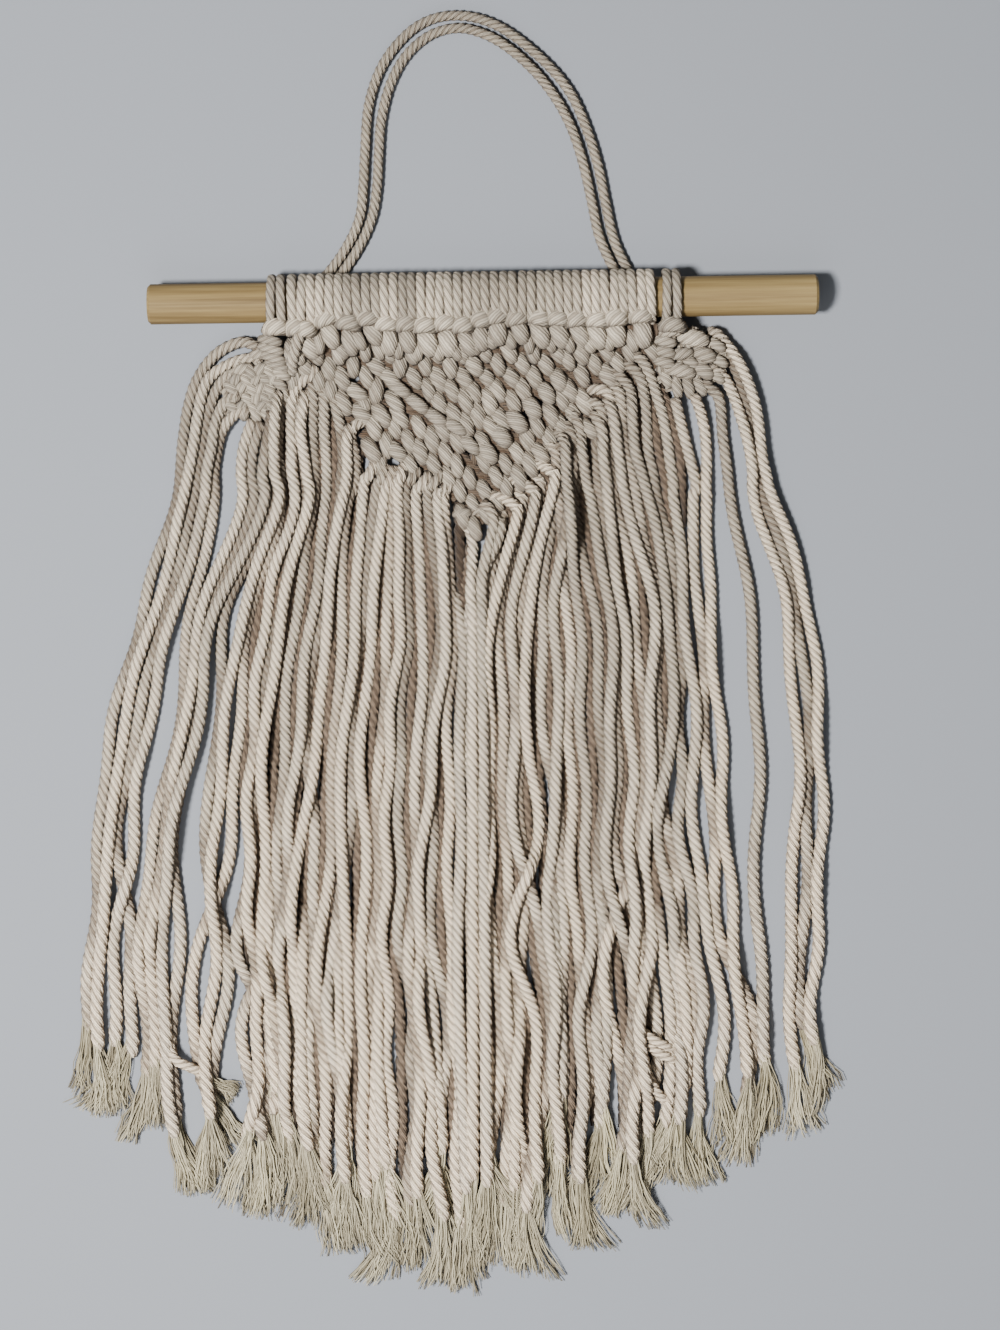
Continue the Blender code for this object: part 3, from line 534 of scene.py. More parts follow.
# the fold of each cord: x, y and length; the ones further down lie a little lower
FOLDS = ((-83.4, -11.1, 7.4), (-79.3, -11.5, 7.0), (-69.6, -6.2, 10.4), (-60.6, -9.2, 9.4),
         (-51.8, -6.3, 9.8), (-43.4, -9.9, 10.2), (-34.4, -10.3, 8.6), (-26.0, -10.4, 8.8),
         (-16.8, -10.3, 9.4), (-9.2, -11.2, 8.0), (-1.0, -8.9, 7.4), (6.2, -7.2, 9.6), (15.2, -7.3, 9.4),
         (24.2, -8.3, 9.2), (33.0, -8.4, 9.4), (41.7, -8.3, 9.4), (50.5, -8.9, 9.6), (59.3, -8.0, 9.4),
         (70.4, -8.3, 10.2))
MOUNT_FOLDS = ((-92.4, -11.0, 10.0), (84.6, -12.2, 10.6))
crossings = []
for (x, y, length), tone in zip(FOLDS + MOUNT_FOLDS, pass_tone):
    place = (x, y - FOLD_DROP + rng.normal(0, 0.5))
    crown = FOLD_HEIGHT + rng.normal(0, 0.4) - 0.35 * max(0.0, -8.0 - y)
    direction = FOLD_LEAN + rng.normal(0, 9)
    crossings.append(bight(*place, crown, direction, 0.96 * length, FOLD_WIDTH + rng.normal(0, 0.4),
                           arch=8.5, tone=tone - 0.2, fibre=16.0, thick=0.95, bend=2.8, rise=0.0, dark=0.5))
add_piece("crossing_folds", crossings, cord_cotton)

# %% [markdown]
# ## The knotted V
# Below the row the cords are tied in diagonal rows of half hitches that meet in a point. Their crowns
# make a diamond lattice, each leaning the same way because the cord has one twist. The lattice is laid
# out as whole arrays, kept inside the V, pushed away from the gaps between knots, and loosened by a
# little chance. Two thicker rows mark a smaller V inside. Under the crowns lie the cords that they
# are tied round, which close the back. To place each knot by hand would make the pattern uneven in
# the wrong way, because real knots keep their pitch and only their size and lean vary.

# %% Outline and height of the V
LEFT_EDGE = np.array(((-85.5, -37.5), (-11.5, -94.5)))
RIGHT_EDGE = np.array(((75.5, -31.5), (-3.0, -96.0)))
PANEL_LEFT, PANEL_RIGHT, PANEL_TOP = -86.8, 78.4, -12.5
LIFT_END, LIFT = -36.0, 10.5


def lift(y):
    """How far the knots are raised at this y, where they climb to the folds on the dowel: the share
    of the way from LIFT_END to the panel's top, to a power, so that the climb starts slowly."""
    return LIFT * np.clip((np.asarray(y) - LIFT_END) / (PANEL_TOP - LIFT_END), 0.0, 1.2) ** 1.6


def inside_edges(places, margin):
    """True for places that are inside the V by at least the margin, which may be negative. How deep a
    place is behind an edge is the cross product of its way from the edge's end with the edge."""
    inside = (places[:, 0] > PANEL_LEFT + margin) & (places[:, 0] < PANEL_RIGHT - margin)
    for (upper, lower), facing in ((LEFT_EDGE, 1.0), (RIGHT_EDGE, -1.0)):
        run = unit(lower - upper)
        depth = ((places[:, 0] - upper[0]) * -run[1] + (places[:, 1] - upper[1]) * run[0]) * facing
        inside &= depth > margin
    return inside


# gaps between knots: x, y, and half their width
GAPS = np.array([(-58.5, -22.5, 1.6), (-58.9, -34.2, 1.6), (-51.3, -43.8, 1.6), (-59.2, -51.8, 1.4),
                 (-43.9, -39.9, 1.6), (-35.2, -50.3, 2.0), (-54.5, -58.6, 2.4), (-46.4, -60.5, 1.6),
                 (-43.4, -72.3, 1.6), (-4.9, -60.2, 2.2), (-12.2, -91.2, 1.8), (37.9, -59.5, 2.8),
                 (45.1, -53.3, 1.5), (-3.8, -75.6, 1.4), (12.2, -86.6, 2.0), (25.8, -49.0, 2.0),
                 (30.4, -45.9, 1.4), (7.4, -48.7, 1.6), (39.6, -28.5, 1.4), (76.7, -13.8, 1.6)])
GAP_REACH = 4.6


def pushed(places):
    """Moves each place away from the gaps, by half of what it lacks to GAP_REACH from their edge."""
    away = places[:, None, :2] - GAPS[None, :, :2]
    distance = np.linalg.norm(away, axis=2)
    push = np.clip((GAPS[:, 2] + GAP_REACH - distance), 0.0, None) * 0.5
    return places + (unit(away) * push[:, :, None]).sum(axis=1)


print("gaps between knots:", len(GAPS))

# %% Where strands leave the V
# the first part of each strand that comes out at the V's edge, over the knots there: x and y
EDGE_COURSES = {
    10: ((-92.3, -31.5), (-90.6, -41.4), (-92.1, -50.4), (-93.2, -63.4)),
    11: ((-75.1, -28.6), (-77.9, -31.9), (-83.1, -36.3), (-86.5, -42.8), (-87.3, -52.5), (-86.9, -61.3),
          (-86.7, -74.8)),
    12: ((-82.5, -41.5), (-83.5, -48.7), (-84.6, -61.3), (-84.9, -77.0)),
    13: ((-80.3, -39.8), (-81.7, -46.9), (-82.8, -55.8), (-82.0, -65.8), (-80.8, -77.1)),
    14: ((-77.5, -35.3), (-77.1, -41.6), (-77.2, -49.4), (-77.7, -62.4), (-77.0, -78.7)),
    15: ((-73.5, -38.5), (-72.2, -43.5), (-72.4, -56.0), (-71.7, -75.5)),
    16: ((-68.1, -41.7), (-66.0, -50.8), (-64.6, -59.3), (-64.2, -70.4), (-65.4, -81.8)),
    17: ((-60.7, -55.4), (-62.2, -62.5), (-62.1, -72.9), (-63.4, -84.1)),
    18: ((-52.6, -53.2), (-56.6, -54.0), (-59.4, -56.2), (-60.4, -60.7), (-58.6, -69.2), (-59.1, -82.2)),
    19: ((-49.7, -72.2), (-52.5, -78.0), (-55.3, -85.1)),
    20: ((-45.2, -73.1), (-46.9, -79.9), (-49.5, -86.6)),
    21: ((-41.6, -74.1), (-43.5, -81.7), (-45.9, -88.9)),
    22: ((-39.4, -74.6), (-40.8, -81.8), (-43.2, -88.9)),
    23: ((-36.7, -72.8), (-38.1, -79.1), (-39.6, -86.3)),
    24: ((-29.9, -75.2), (-33.6, -80.1), (-36.2, -87.2)),
    25: ((-25.0, -77.5), (-29.1, -82.8), (-31.5, -90.4)),
    26: ((-19.2, -76.7), (-23.3, -82.0), (-26.1, -89.2)),
    27: ((-15.6, -82.1), (-19.7, -86.1), (-21.6, -91.0)),
    28: ((-17.1, -86.6), (-18.9, -90.6)),
    38: ((28.3, -63.0), (31.4, -68.0), (32.2, -75.6), (32.5, -85.6)),
    39: ((32.0, -58.5), (35.5, -63.5), (36.3, -73.0), (36.5, -84.7)),
    40: ((35.6, -55.0), (39.2, -60.5), (39.9, -68.6), (40.6, -83.4)),
    41: ((39.3, -51.0), (42.8, -57.8), (43.5, -67.7), (45.6, -83.5)),
    42: ((43.4, -45.7), (51.5, -47.8), (53.0, -55.7), (49.4, -67.8), (50.5, -83.6)),
    43: ((48.8, -50.7), (52.7, -59.3), (53.0, -70.1), (54.5, -84.5)),
    44: ((46.7, -40.5), (54.7, -41.3), (58.0, -49.0), (56.9, -60.3), (55.7, -68.8), (58.1, -84.6)),
    45: ((55.2, -44.0), (58.1, -54.4), (59.7, -68.0), (61.7, -84.6)),
    46: ((57.1, -36.9), (61.2, -43.7), (62.2, -55.8), (63.3, -68.0), (66.7, -84.7)),
    47: ((57.1, -31.9), (65.1, -39.7), (66.5, -52.8), (67.8, -68.1), (71.6, -84.8)),
    48: ((62.1, -28.4), (69.7, -34.4), (72.5, -47.4), (73.2, -68.2), (77.0, -84.9)),
    49: ((65.8, -23.9), (72.7, -29.9), (77.7, -43.5), (80.9, -56.1), (83.1, -68.3), (85.2, -84.1)),
}
edge_places = np.vstack([smooth_path(knots, STEP)[3:] for knots in EDGE_COURSES.values()])
print("strands that leave over the edge:", len(EDGE_COURSES))

# %% Lattice of the knots
ALONG, ACROSS = np.array((5.8, -5.7)), np.array((-5.0, -5.65))      # the lattice's two steps
FIRST = np.array((-5.0, -28.0))
LATTICE_TOP = -21.5                     # above it are the knots that hang from the folds
BAR_CLEARANCE, EDGE_CLEARANCE = 4.4, 3.3
steps = np.arange(-22, 26)
along_steps, across_steps = (grid.ravel()[:, None] for grid in np.meshgrid(steps, steps))
lattice = FIRST + along_steps * ALONG + across_steps * ACROSS
inside = inside_edges(lattice + rng.normal(0, 0.7, lattice.shape), -3.4)
lattice = lattice[(lattice[:, 1] < LATTICE_TOP) & inside]
lattice = pushed(lattice + rng.normal(0, 0.4, lattice.shape))

# the two thicker rows: x, y, direction, length and width of each knot
BARS = np.array((
    (-38.5, -38.8, -36, 12.5, 6.0), (-30.5, -45.6, -40, 12.5, 6.2), (-22.0, -52.2, -38, 12.0, 6.2),
    (-13.5, -56.5, -34, 12.0, 6.0), (-7.0, -64.5, -45, 11.0, 6.2),
    (33.5, -36.0, -68, 10.0, 7.6), (28.0, -42.0, -62, 9.5, 7.4), (21.5, -48.5, -60, 10.0, 7.8),
    (14.5, -54.5, -52, 11.0, 8.0), (7.0, -60.5, -50, 11.5, 8.2), (1.0, -68.0, -55, 11.0, 7.4),
))
clear = np.linalg.norm(lattice[:, None, :] - BARS[None, :, :2], axis=2).min(axis=1) > BAR_CLEARANCE
clear &= np.linalg.norm(lattice[:, None, :] - edge_places[None], axis=2).min(axis=1) > EDGE_CLEARANCE
lattice = lattice[clear]
print("knots in the lattice:", len(lattice))

# %% Crowns of the knots
CROWN_HEIGHT, BAR_HEIGHT, HUNG_HEIGHT, BESIDE_HEIGHT = 8.4, 9.9, 10.0, 7.4
CROWN_LENGTH, CROWN_WIDTH = 12.6, 7.4
crowns = []
for x, y in lattice:
    tight = np.clip((-56.0 - y) / 12.0, 0.0, 1.0)           # the tip is tied tighter
    loose = np.clip((-22.0 - x) / 12.0, 0.0, 1.0)           # the left half is tied less evenly
    size = rng.normal(0.94 - 0.07 * tight, 0.06)
    lean = -66 - 9 * loose + rng.normal(0, 6 + 10 * loose)
    crown = CROWN_HEIGHT + lift(y) + rng.normal(0, 0.5)
    crowns.append(bight(x, y, crown, lean, CROWN_LENGTH * size, CROWN_WIDTH * size, arch=4.6,
                        tone=rng.uniform(-0.3, 0.25), fibre=rng.uniform(20.0, 34.0), groove=0.12, dark=0.5))
for x, y, direction, length, width in BARS:
    crowns.append(bight(x, y, BAR_HEIGHT + lift(y), direction, length, width, arch=3.6,
                        tone=rng.uniform(-0.4, -0.1), fibre=18.0))
# from each fold but the first hang a large crown and a small one beside it
for (x, y, _), tone in zip(FOLDS[1:], pass_tone[1:]):
    low = y - 7.4 + rng.normal(0, 0.8)
    place = (x + 0.9 + rng.normal(0, 0.7), low, HUNG_HEIGHT + lift(low) + rng.normal(0, 0.5))
    lean = -73 + rng.normal(0, 7)
    crowns.append(bight(*place, lean, 12.4, 8.4 + rng.normal(0, 0.4), arch=5.4, tone=tone - 0.3, fibre=34.0))
    crowns.append(bight(x - 4.0, low - 3.4, BESIDE_HEIGHT + lift(low), -70 + rng.normal(0, 9), 10.4, 5.4,
                        arch=3.4, tone=tone - 0.4))
loop_at_tip = bight(-10.7, -95.4, 8.6, 6, 8.0, 4.8, arch=4.0, tone=-0.2, fibre=18.0)
knotted_v = add_piece("knotted_v", crowns + [loop_at_tip], cord_cotton)
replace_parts(knotted_v, "knotted_panel")

# %% Cords under the knots
UNDER_HEIGHT, UNDER_TOP = 2.4, -13.0
HALF_RUN = 0.72                         # of a lattice step, so that the cords overlap
under = []
for run in (ALONG, ACROSS):
    for place in FIRST + (along_steps + 0.5) * ALONG + (across_steps + 0.5) * ACROSS:
        ends = np.array([place - run * HALF_RUN, place + run * HALF_RUN])
        middle = ends.mean(axis=0)[None, :]
        if not inside_edges(middle, 0.8)[0] or middle[0, 1] > UNDER_TOP:
            continue
        if (np.linalg.norm(GAPS[:, :2] - middle, axis=1) < GAPS[:, 2] + 1.2).any():
            continue
        path = np.linspace(ends[0], ends[1], 7)
        height = UNDER_HEIGHT + lift(path[:, 1]) + 0.4 * (run[0] > 0)
        path = np.column_stack([path, height])
        phase = any_phase()
        # painted shade: these cords are painted almost wholly in the groove's brown, as the knots above hide
        # them from the light
        under.append(rope(path, level_side(path), radius=3.1, lay=20.0, per_lobe=3, groove=0.2, phase=phase,
                          high=0.7, tone=rng.uniform(0.0, 0.3), painted_ring_light=0.1, dark=0.8))
add_piece("cords_under_knots", under, cord_cotton)

# %% [markdown]
# ## Where each strand lies
# The fringe is 56 lengths of cord. A table gives the x of each one at six levels, because no formula
# gives the way that cords happen to lie. Between the levels they follow a smooth curve. Their heights
# are worked out, as if they were laid one by one: a strand rests on the floor, and climbs over any
# earlier strand that is closer than a cord's thickness.

# %% Table of the fringe
LEVELS = (-92.7, -141.0, -200.0, -243.0, -288.0, -333.0)
LEFT_LANES = (
    (-141.8, -136.8, -132.3, -127.4, -123.3, -111.2, -105.8, -100.8, -97.7, -94.5, -91.4, -86.9, -83.7,
     -80.1, -76.5, -72.9, -67.1, -64.4, -61.7, -57.2, -52.2, -47.3, -44.6, -41.9, -36.5, -31.1, -25.7,
     -22.1, -18.0),
    (-156.5, -151.5, -146.1, -142.1, -134.0, -129.0, -125.9, -123.2, -118.2, -110.1, -106.1, -101.6, -97.1,
     -92.6, -86.3, -80.4, -75.9, -71.4, -65.1, -59.3, -53.9, -48.0, -43.5, -38.6, -32.7, -27.8, -22.8,
     -19.7, -16.5),
    (-172.6, -167.2, -161.8, -156.4, -142.0, -139.3, -136.6, -133.5, -122.7, -118.6, -114.6, -108.3, -105.1,
     -102.4, -96.6, -89.4, -83.5, -78.6, -73.2, -68.2, -63.3, -60.6, -52.9, -46.6, -41.2, -34.5, -29.5,
     -25.0, -18.3),
    (-176.4, -171.0, -167.9, -162.0, -153.5, -148.1, -145.4, -142.7, -130.1, -124.7, -118.8, -109.4, -106.2,
     -103.1, -96.3, -90.5, -85.1, -78.8, -72.5, -65.3, -62.1, -59.0, -50.9, -44.6, -39.2, -34.2, -29.3,
     -24.3, -18.9),
    (-180.7, -177.6, -169.9, -163.6, -158.2, -153.3, -147.9, -142.0, -131.7, -126.3, -120.9, -113.2, -109.6,
     -106.0, -101.1, -94.3, -91.2, -84.9, -78.6, -72.7, -65.5, -58.8, -51.6, -48.9, -46.6, -40.3, -34.0,
     -29.1, -22.8),
    (-183.8, -177.3, -171.3, -163.4, -157.1, -153.5, -148.5, -144.5, -135.9, -130.5, -123.8, -112.1, -107.1,
     -102.6, -97.2, -94.5, -90.9, -82.8, -76.5, -72.9, -68.9, -59.4, -54.0, -48.6, -37.4, -33.8, -30.2,
     -23.0, -17.6),
)
RIGHT_LANES = (
    (-7.2, 0.9, 4.9, 8.5, 11.7, 14.8, 20.7, 26.1, 29.7, 32.8, 36.9, 40.9, 46.8, 51.3, 55.8, 59.4, 62.5,
     67.9, 72.9, 78.7, 85.0, 93.1, 99.9, 111.1, 121.9, 126.0, 130.0),
    (-7.1, -2.1, 2.8, 7.3, 10.9, 14.1, 18.6, 26.2, 28.5, 35.7, 44.7, 49.6, 55.0, 59.5, 62.7, 67.6, 73.0,
     78.0, 82.0, 85.6, 88.8, 95.1, 100.0, 118.0, 134.2, 139.2, 144.6),
    (-10.2, -6.6, -0.3, 5.1, 8.7, 12.3, 17.7, 22.7, 29.4, 38.0, 43.4, 51.5, 56.4, 61.4, 66.8, 69.5, 72.2,
     76.7, 81.2, 86.1, 92.9, 97.8, 104.1, 121.2, 138.3, 143.7, 148.7),
    (-9.0, -3.2, 2.2, 6.7, 11.7, 16.6, 22.0, 26.5, 32.8, 37.8, 42.3, 46.8, 50.8, 55.8, 61.2, 67.0, 71.5,
     76.0, 80.5, 85.5, 90.9, 99.9, 105.3, 119.2, 137.7, 142.6, 148.9),
    (-12.0, -6.6, -1.2, 3.3, 8.7, 14.1, 19.1, 24.0, 32.6, 37.5, 42.0, 49.2, 52.8, 56.9, 61.4, 66.8, 71.7,
     80.3, 86.1, 92.0, 98.7, 103.2, 109.1, 119.9, 133.4, 139.7, 146.0),
    (-9.0, -4.1, 0.9, 7.2, 11.7, 18.0, 24.3, 28.3, 32.4, 37.8, 41.8, 49.0, 54.4, 61.6, 64.3, 67.9, 73.8,
     82.3, 88.6, 93.1, 103.0, 111.6, 117.0, 121.5, 135.0, 139.0, 144.0),
)
# each lock of strands: how many, and the x and y where the brushes of its first and last strand end
LOCK_ENDS = ((4, (-185, -168), (-355, -364)), (1, (-159, -159), (-382, -382)),
             (3, (-151, -139), (-389, -397)), (3, (-132, -121), (-399, -400)),
             (3, (-115, -102), (-404, -407)), (7, (-96, -63), (-408, -431)), (3, (-57, -46), (-434, -437)),
             (5, (-40, -17), (-437, -440)), (8, (-11, 23), (-440, -427)), (3, (28, 39), (-423, -421)),
             (8, (45, 80), (-420, -405)), (4, (89, 119), (-396, -383)), (1, (129, 129), (-383, -383)),
             (3, (138, 154), (-378, -359)))
# the strands of the wings: their course from the wing's edge down to the first level
WING_COURSES = {
    0: ((-99.8, -20.1), (-107.8, -16.8), (-115.1, -18.5), (-121.4, -22.5), (-126.9, -28.7), (-131.3, -36.7),
        (-133.9, -47.1), (-135.0, -56.9), (-137.5, -74.9)),
    1: ((-99.4, -23.7), (-109.7, -24.8), (-117.2, -27.8), (-124.0, -32.8), (-127.7, -41.0), (-130.0, -51.8),
        (-131.6, -62.2), (-133.0, -72.5)),
    2: ((-104.0, -30.8), (-113.4, -30.9), (-119.4, -36.0), (-123.5, -44.1), (-126.1, -53.5), (-129.4, -72.3)),
    3: ((-110.0, -40.2), (-115.4, -42.2), (-119.1, -47.3), (-121.7, -54.4), (-123.4, -64.8), (-125.4, -75.1)),
    4: ((-106.0, -47.0), (-112.8, -49.6), (-116.5, -53.6), (-119.3, -58.7), (-121.2, -67.5), (-122.2, -75.1)),
    5: ((-104.1, -52.2), (-106.6, -57.4), (-109.0, -65.4), (-110.1, -75.3)),
    6: ((-100.3, -53.0), (-103.1, -60.1), (-105.0, -67.7), (-105.6, -76.7)),
    7: ((-95.7, -48.5), (-96.7, -56.6), (-98.7, -65.6), (-100.2, -76.8)),
    8: ((-95.4, -42.0), (-96.6, -50.0), (-97.6, -66.0), (-98.0, -76.0)),
    9: ((-92.6, -40.0), (-93.8, -50.0), (-94.8, -66.0), (-95.0, -76.0)),
    50: ((85.7, -44.9), (88.5, -56.7), (92.1, -72.0), (94.6, -85.6)),
    51: ((94.3, -43.3), (97.8, -53.2), (99.6, -65.9), (99.3, -85.7)),
    52: ((98.9, -37.0), (101.1, -40.2), (104.9, -43.7), (106.4, -49.2), (106.9, -56.8), (107.3, -63.7),
         (109.3, -78.3)),
    53: ((100.8, -31.7), (105.1, -33.3), (109.3, -37.6), (112.5, -44.9), (115.6, -55.7), (118.3, -66.8),
         (120.3, -78.0)),
    54: ((97.3, -22.6), (102.5, -23.6), (109.4, -25.7), (113.8, -32.8), (116.4, -42.3), (118.9, -53.1),
         (120.4, -63.9), (123.0, -78.0)),
    55: ((101.0, -15.5), (105.3, -16.4), (111.7, -24.2), (117.0, -34.0), (120.7, -45.0), (122.8, -55.9),
         (124.7, -69.6), (127.3, -80.7)),
}
# where the strands just right of the tip leave the V, as a share of the way down its right edge
RIGHT_ROOTS = np.linspace(0.99, 0.02, 19)[:9]
print("strands in the table:", len(LEFT_LANES[0]) + len(RIGHT_LANES[0]))

# %% Lanes of the strands, and where their brushes end
FIRST_RIGHT = len(LEFT_LANES[0])       # strands are numbered from the left; this one is right of the tip
lanes = np.hstack([np.array(LEFT_LANES), np.array(RIGHT_LANES)])
inner = slice(12, 45)
# the inner strands are steadied towards the mean of the levels above and below
for level in range(1, 5):
    around = lanes[level - 1, inner] + lanes[level + 1, inner]
    lanes[level, inner] = 0.5 * lanes[level, inner] + 0.25 * around
# strands lie in bunches with valleys between them, which drift from level to level
for level in range(len(LEVELS)):
    lanes[level, 9:47] += 1.5 * np.sin(np.arange(9, 47) * 2 * math.pi / 3.7 + 1.1 * level)
lanes[1, 22:29] += np.linspace(0.4, 2.8, 7)      # beside the tip they close up
between = lanes.copy()                 # before any change places, for the layer beneath
SHORTER = (5, 10, 13, 17, 22, 26, 31, 36, 40, 44, 49, 54)      # strands that were cut a little higher
# where two strands change places: the two of them, and the level from which they have
SWAPS = ((2, 3, 4), (6, 7, 3), (11, 12, 4), (13, 14, 5), (16, 17, 3), (19, 20, 4), (26, 27, 3), (30, 31, 4),
         (33, 34, 5), (36, 37, 3), (38, 39, 5), (41, 42, 4), (44, 45, 5), (46, 47, 3), (50, 51, 5),
         (12, 14, 5), (33, 35, 4), (42, 44, 4), (8, 10, 4))
for one, other, level in SWAPS:
    lanes[level:, [one, other]] = lanes[level:, [other, one]]
ends = []
for count, *spans in LOCK_ENDS:
    share = np.linspace(0.0, 1.0, count) if count > 1 else np.array([0.5])
    ends += zip(*(first + (last - first) * share for first, last in spans))
ends = [(x, y + 6.0 * math.sin(5.1 * n) + (16.0 if n in SHORTER else 0.0))
        for n, (x, y) in enumerate(ends)]
print("the fringe is", round(max(x for x, _ in ends) - min(x for x, _ in ends)), "mm wide at its ends")


# %% Courses of the strands
def course_of(index, table):
    """The level course of one strand: from its knot, out over the V's edge, and down the table. The
    strands just right of the tip bend out in a hook, whose size is a wave over their numbers."""
    if index in EDGE_COURSES:
        knots, low = list(EDGE_COURSES[index]), EDGE_COURSES[index][-1][1] - 8.0
    elif index in WING_COURSES:
        knots, low = list(WING_COURSES[index]), -86.0
    else:
        share = RIGHT_ROOTS[index - FIRST_RIGHT] + 0.012 * math.sin(2.7 * index)
        root = RIGHT_EDGE[0] + (RIGHT_EDGE[1] - RIGHT_EDGE[0]) * share
        hook = 5.4 + 1.8 * math.sin(3.3 * index)
        knots = [root + (-4.4, 1.4), root + (1.6, 0.6), root + (hook, -3.0), root + (hook + 1.0, -9.6)]
        low = root[1] - 26.0
    below = [(x, y) for x, y in zip(table[:, index], LEVELS) if y < low]
    return smooth_path([tuple(knot) for knot in knots] + below + [ends[index]], STEP)


courses = []
for index in range(len(ends)):
    course = course_of(index, lanes)
    along = np.arange(len(course)) * STEP
    sway = np.clip((along - 20) / 60, 0, 1) + 0.3 * np.clip((along - 140) / 120, 0, 1)
    course[:, 0] += sway * np.sin(along / rng.uniform(8, 15) + any_phase())
    courses.append(course)
print("longest strand, mm:", round(max(length_of(c) for c in courses)))

# %% Heights of the strands
STRAND_RADIUS = 2.86                   # slack cord is a little thicker than cord that carries weight
NEAR = 5.0                             # closer than this, one strand lies on the other
FLOOR_GAP = 2.5


def resting_height(path, beneath):
    """The height of a path's centre, by its level course: the floor, or on a path beneath that is
    closer than NEAR. There it is higher by the third side of the right triangle whose long side is
    NEAR and whose short side is the distance. beneath is pairs of a level course and its height. At
    the end the heights are averaged along the path over 15 rings, the middle ones counting most."""
    own = np.full(len(path), FLOOR_GAP)
    for course, height in beneath:
        apart = np.linalg.norm(path[:, None, :] - course[None, ::2, :], axis=2)
        nearest = apart.argmin(axis=1)
        distance = apart[np.arange(len(own)), nearest]
        raised = height[::2][nearest] + np.sqrt(np.clip(NEAR ** 2 - distance ** 2, 0.0, None))
        own = np.maximum(own, np.where(distance < NEAR, raised, 0.0))
    window = np.hanning(15)
    return np.convolve(np.pad(own, 7, mode="edge"), window / window.sum(), mode="valid")


# every second strand is laid first, then the ones between
laid = {}
for index in [*range(0, len(courses), 2), *range(1, len(courses), 2)]:
    beneath = [(courses[n], laid[n]) for n in range(index - 5, index + 6) if n in laid]
    laid[index] = np.maximum(resting_height(courses[index], beneath), FLOOR_GAP)
heights = [laid[index] for index in range(len(courses))]
print("highest strand centre, mm:", round(max(height.max() for height in heights), 1))

# %% Strands of the tip
# two leave the tip itself, and the third comes out from under its neighbours further down
TIP_STRANDS = (
    ((-11.8, -98.0), (-9.4, -99.8), (-6.9, -105.0), (-6.2, -111.0), (-6.7, -118.0), (-7.5, -133.0),
     (-6.9, -146.0), (-8.0, -220.0), (-9.0, -300.0), (-10.5, -395.0), (-9.5, -424.0)),
    ((-2.1, -90.7), (1.8, -94.1), (3.4, -99.8), (2.4, -105.8), (0.8, -111.5), (-2.3, -125.0),
     (-2.6, -146.0), (-3.0, -220.0), (-3.5, -300.0), (-4.0, -395.0), (-3.0, -427.0)),
    ((-14.6, -131.0), (-12.4, -144.0), (-11.2, -158.0), (-12.2, -175.0), (-13.6, -200.0), (-13.4, -243.0),
     (-16.0, -300.0), (-13.5, -395.0), (-14.5, -430.0)),
)
LATE_START, TIP_HIGHEST = -120.0, 8.0
tip_paths = []
for knots in TIP_STRANDS:
    course = smooth_path(knots, STEP)
    height = resting_height(course, list(zip(courses, heights))[24:34])
    if knots[0][1] < LATE_START:
        height = np.minimum(height, 1.5 + np.arange(len(height)) * STEP / 12.0)
    tip_paths.append(np.column_stack([course, np.minimum(height, TIP_HIGHEST)]))
print("strands of the tip:", len(tip_paths))

# %% Whole paths, and the shade beside higher strands
LOWER_ROOT, UPPER_ROOT = 2.6, 4.6      # strands right of the tip leave the V in two layers
strand_paths = []
for index, (course, height) in enumerate(zip(courses, heights)):
    along = np.arange(len(course)) * STEP
    if index in EDGE_COURSES:
        over = FLOOR_GAP + 5.0 * np.clip(1 - along / 34.0, 0.0, 1.0) ** 1.3 + lift(course[:, 1])
        height = np.maximum(height, over) - 2.6 * np.clip(1 - along / 6.0, 0.0, 1.0)
    elif index in WING_COURSES:
        height = np.maximum(height, FLOOR_GAP + 4.1 * np.clip(1 - along / 26.0, 0.0, 1.0) ** 1.5)
    else:
        root_height = LOWER_ROOT if index % 2 == 0 else UPPER_ROOT
        height = height + (root_height - height) * np.clip(1 - along / 14.0, 0.0, 1.0)
    strand_paths.append(np.column_stack([course, height]))


def shade_beside(path, others):
    """How bright each place of a strand is painted: painted shade where another is close and higher, by
    the product of how much higher and how close it is."""
    hidden = np.zeros(len(path))
    for other in others:
        apart = np.linalg.norm(path[:, None, :2] - other[None, ::3, :2], axis=2)
        nearest = apart.argmin(axis=1)
        higher = np.clip((other[::3, 2][nearest] - path[:, 2]) / 3.0, 0.0, 1.0)
        hidden = np.maximum(hidden, higher * np.clip((6.5 - apart.min(axis=1)) / 3.0, 0.0, 1.0))
    return 1 - 0.6 * hidden


strand_shade = [shade_beside(path, strand_paths[max(0, n - 4):n] + strand_paths[n + 1:n + 5])
                for n, path in enumerate(strand_paths)]
print("darkest place of a strand:", round(min(shade.min() for shade in strand_shade), 2))

# %% [markdown]
# ## The strands beneath
# A real fringe is two layers deep or more. In its body a lower layer shows as dark cords wherever two
# strands lie apart, so a strand is laid halfway between each two neighbours, in the finish of cord
# with painted shade and with fewer points, because so little of it shows. A dark sheet would do from
# above, but it would be seen as a sheet from the side. Low down, some of these strands come out between
# the others.

# %% Strands that lie under the others
LOWER_HEIGHT = 1.9
LOWER_STEP = 2 * STEP
# a lower strand ends above its neighbours' ends, the outermost ones more; by how many of its steps
LOWER_CUT = 11
OUTER_CUT = {10: 48, 11: 34, 12: 20, 44: 18, 45: 36, 46: 42, 47: 70, 48: 85, 49: 92}
# low down some come out between the others: beside which strand, and how much higher they end, mm
RISING = {13: 8.0, 16: 2.0, 19: 14.0, 22: 5.0, 26: 10.0, 32: 4.0, 36: 12.0, 40: 7.0, 43: 15.0, 45: 5.0,
          46: 12.0}
RISING_LENGTH, RISE = 132.0, 2.4
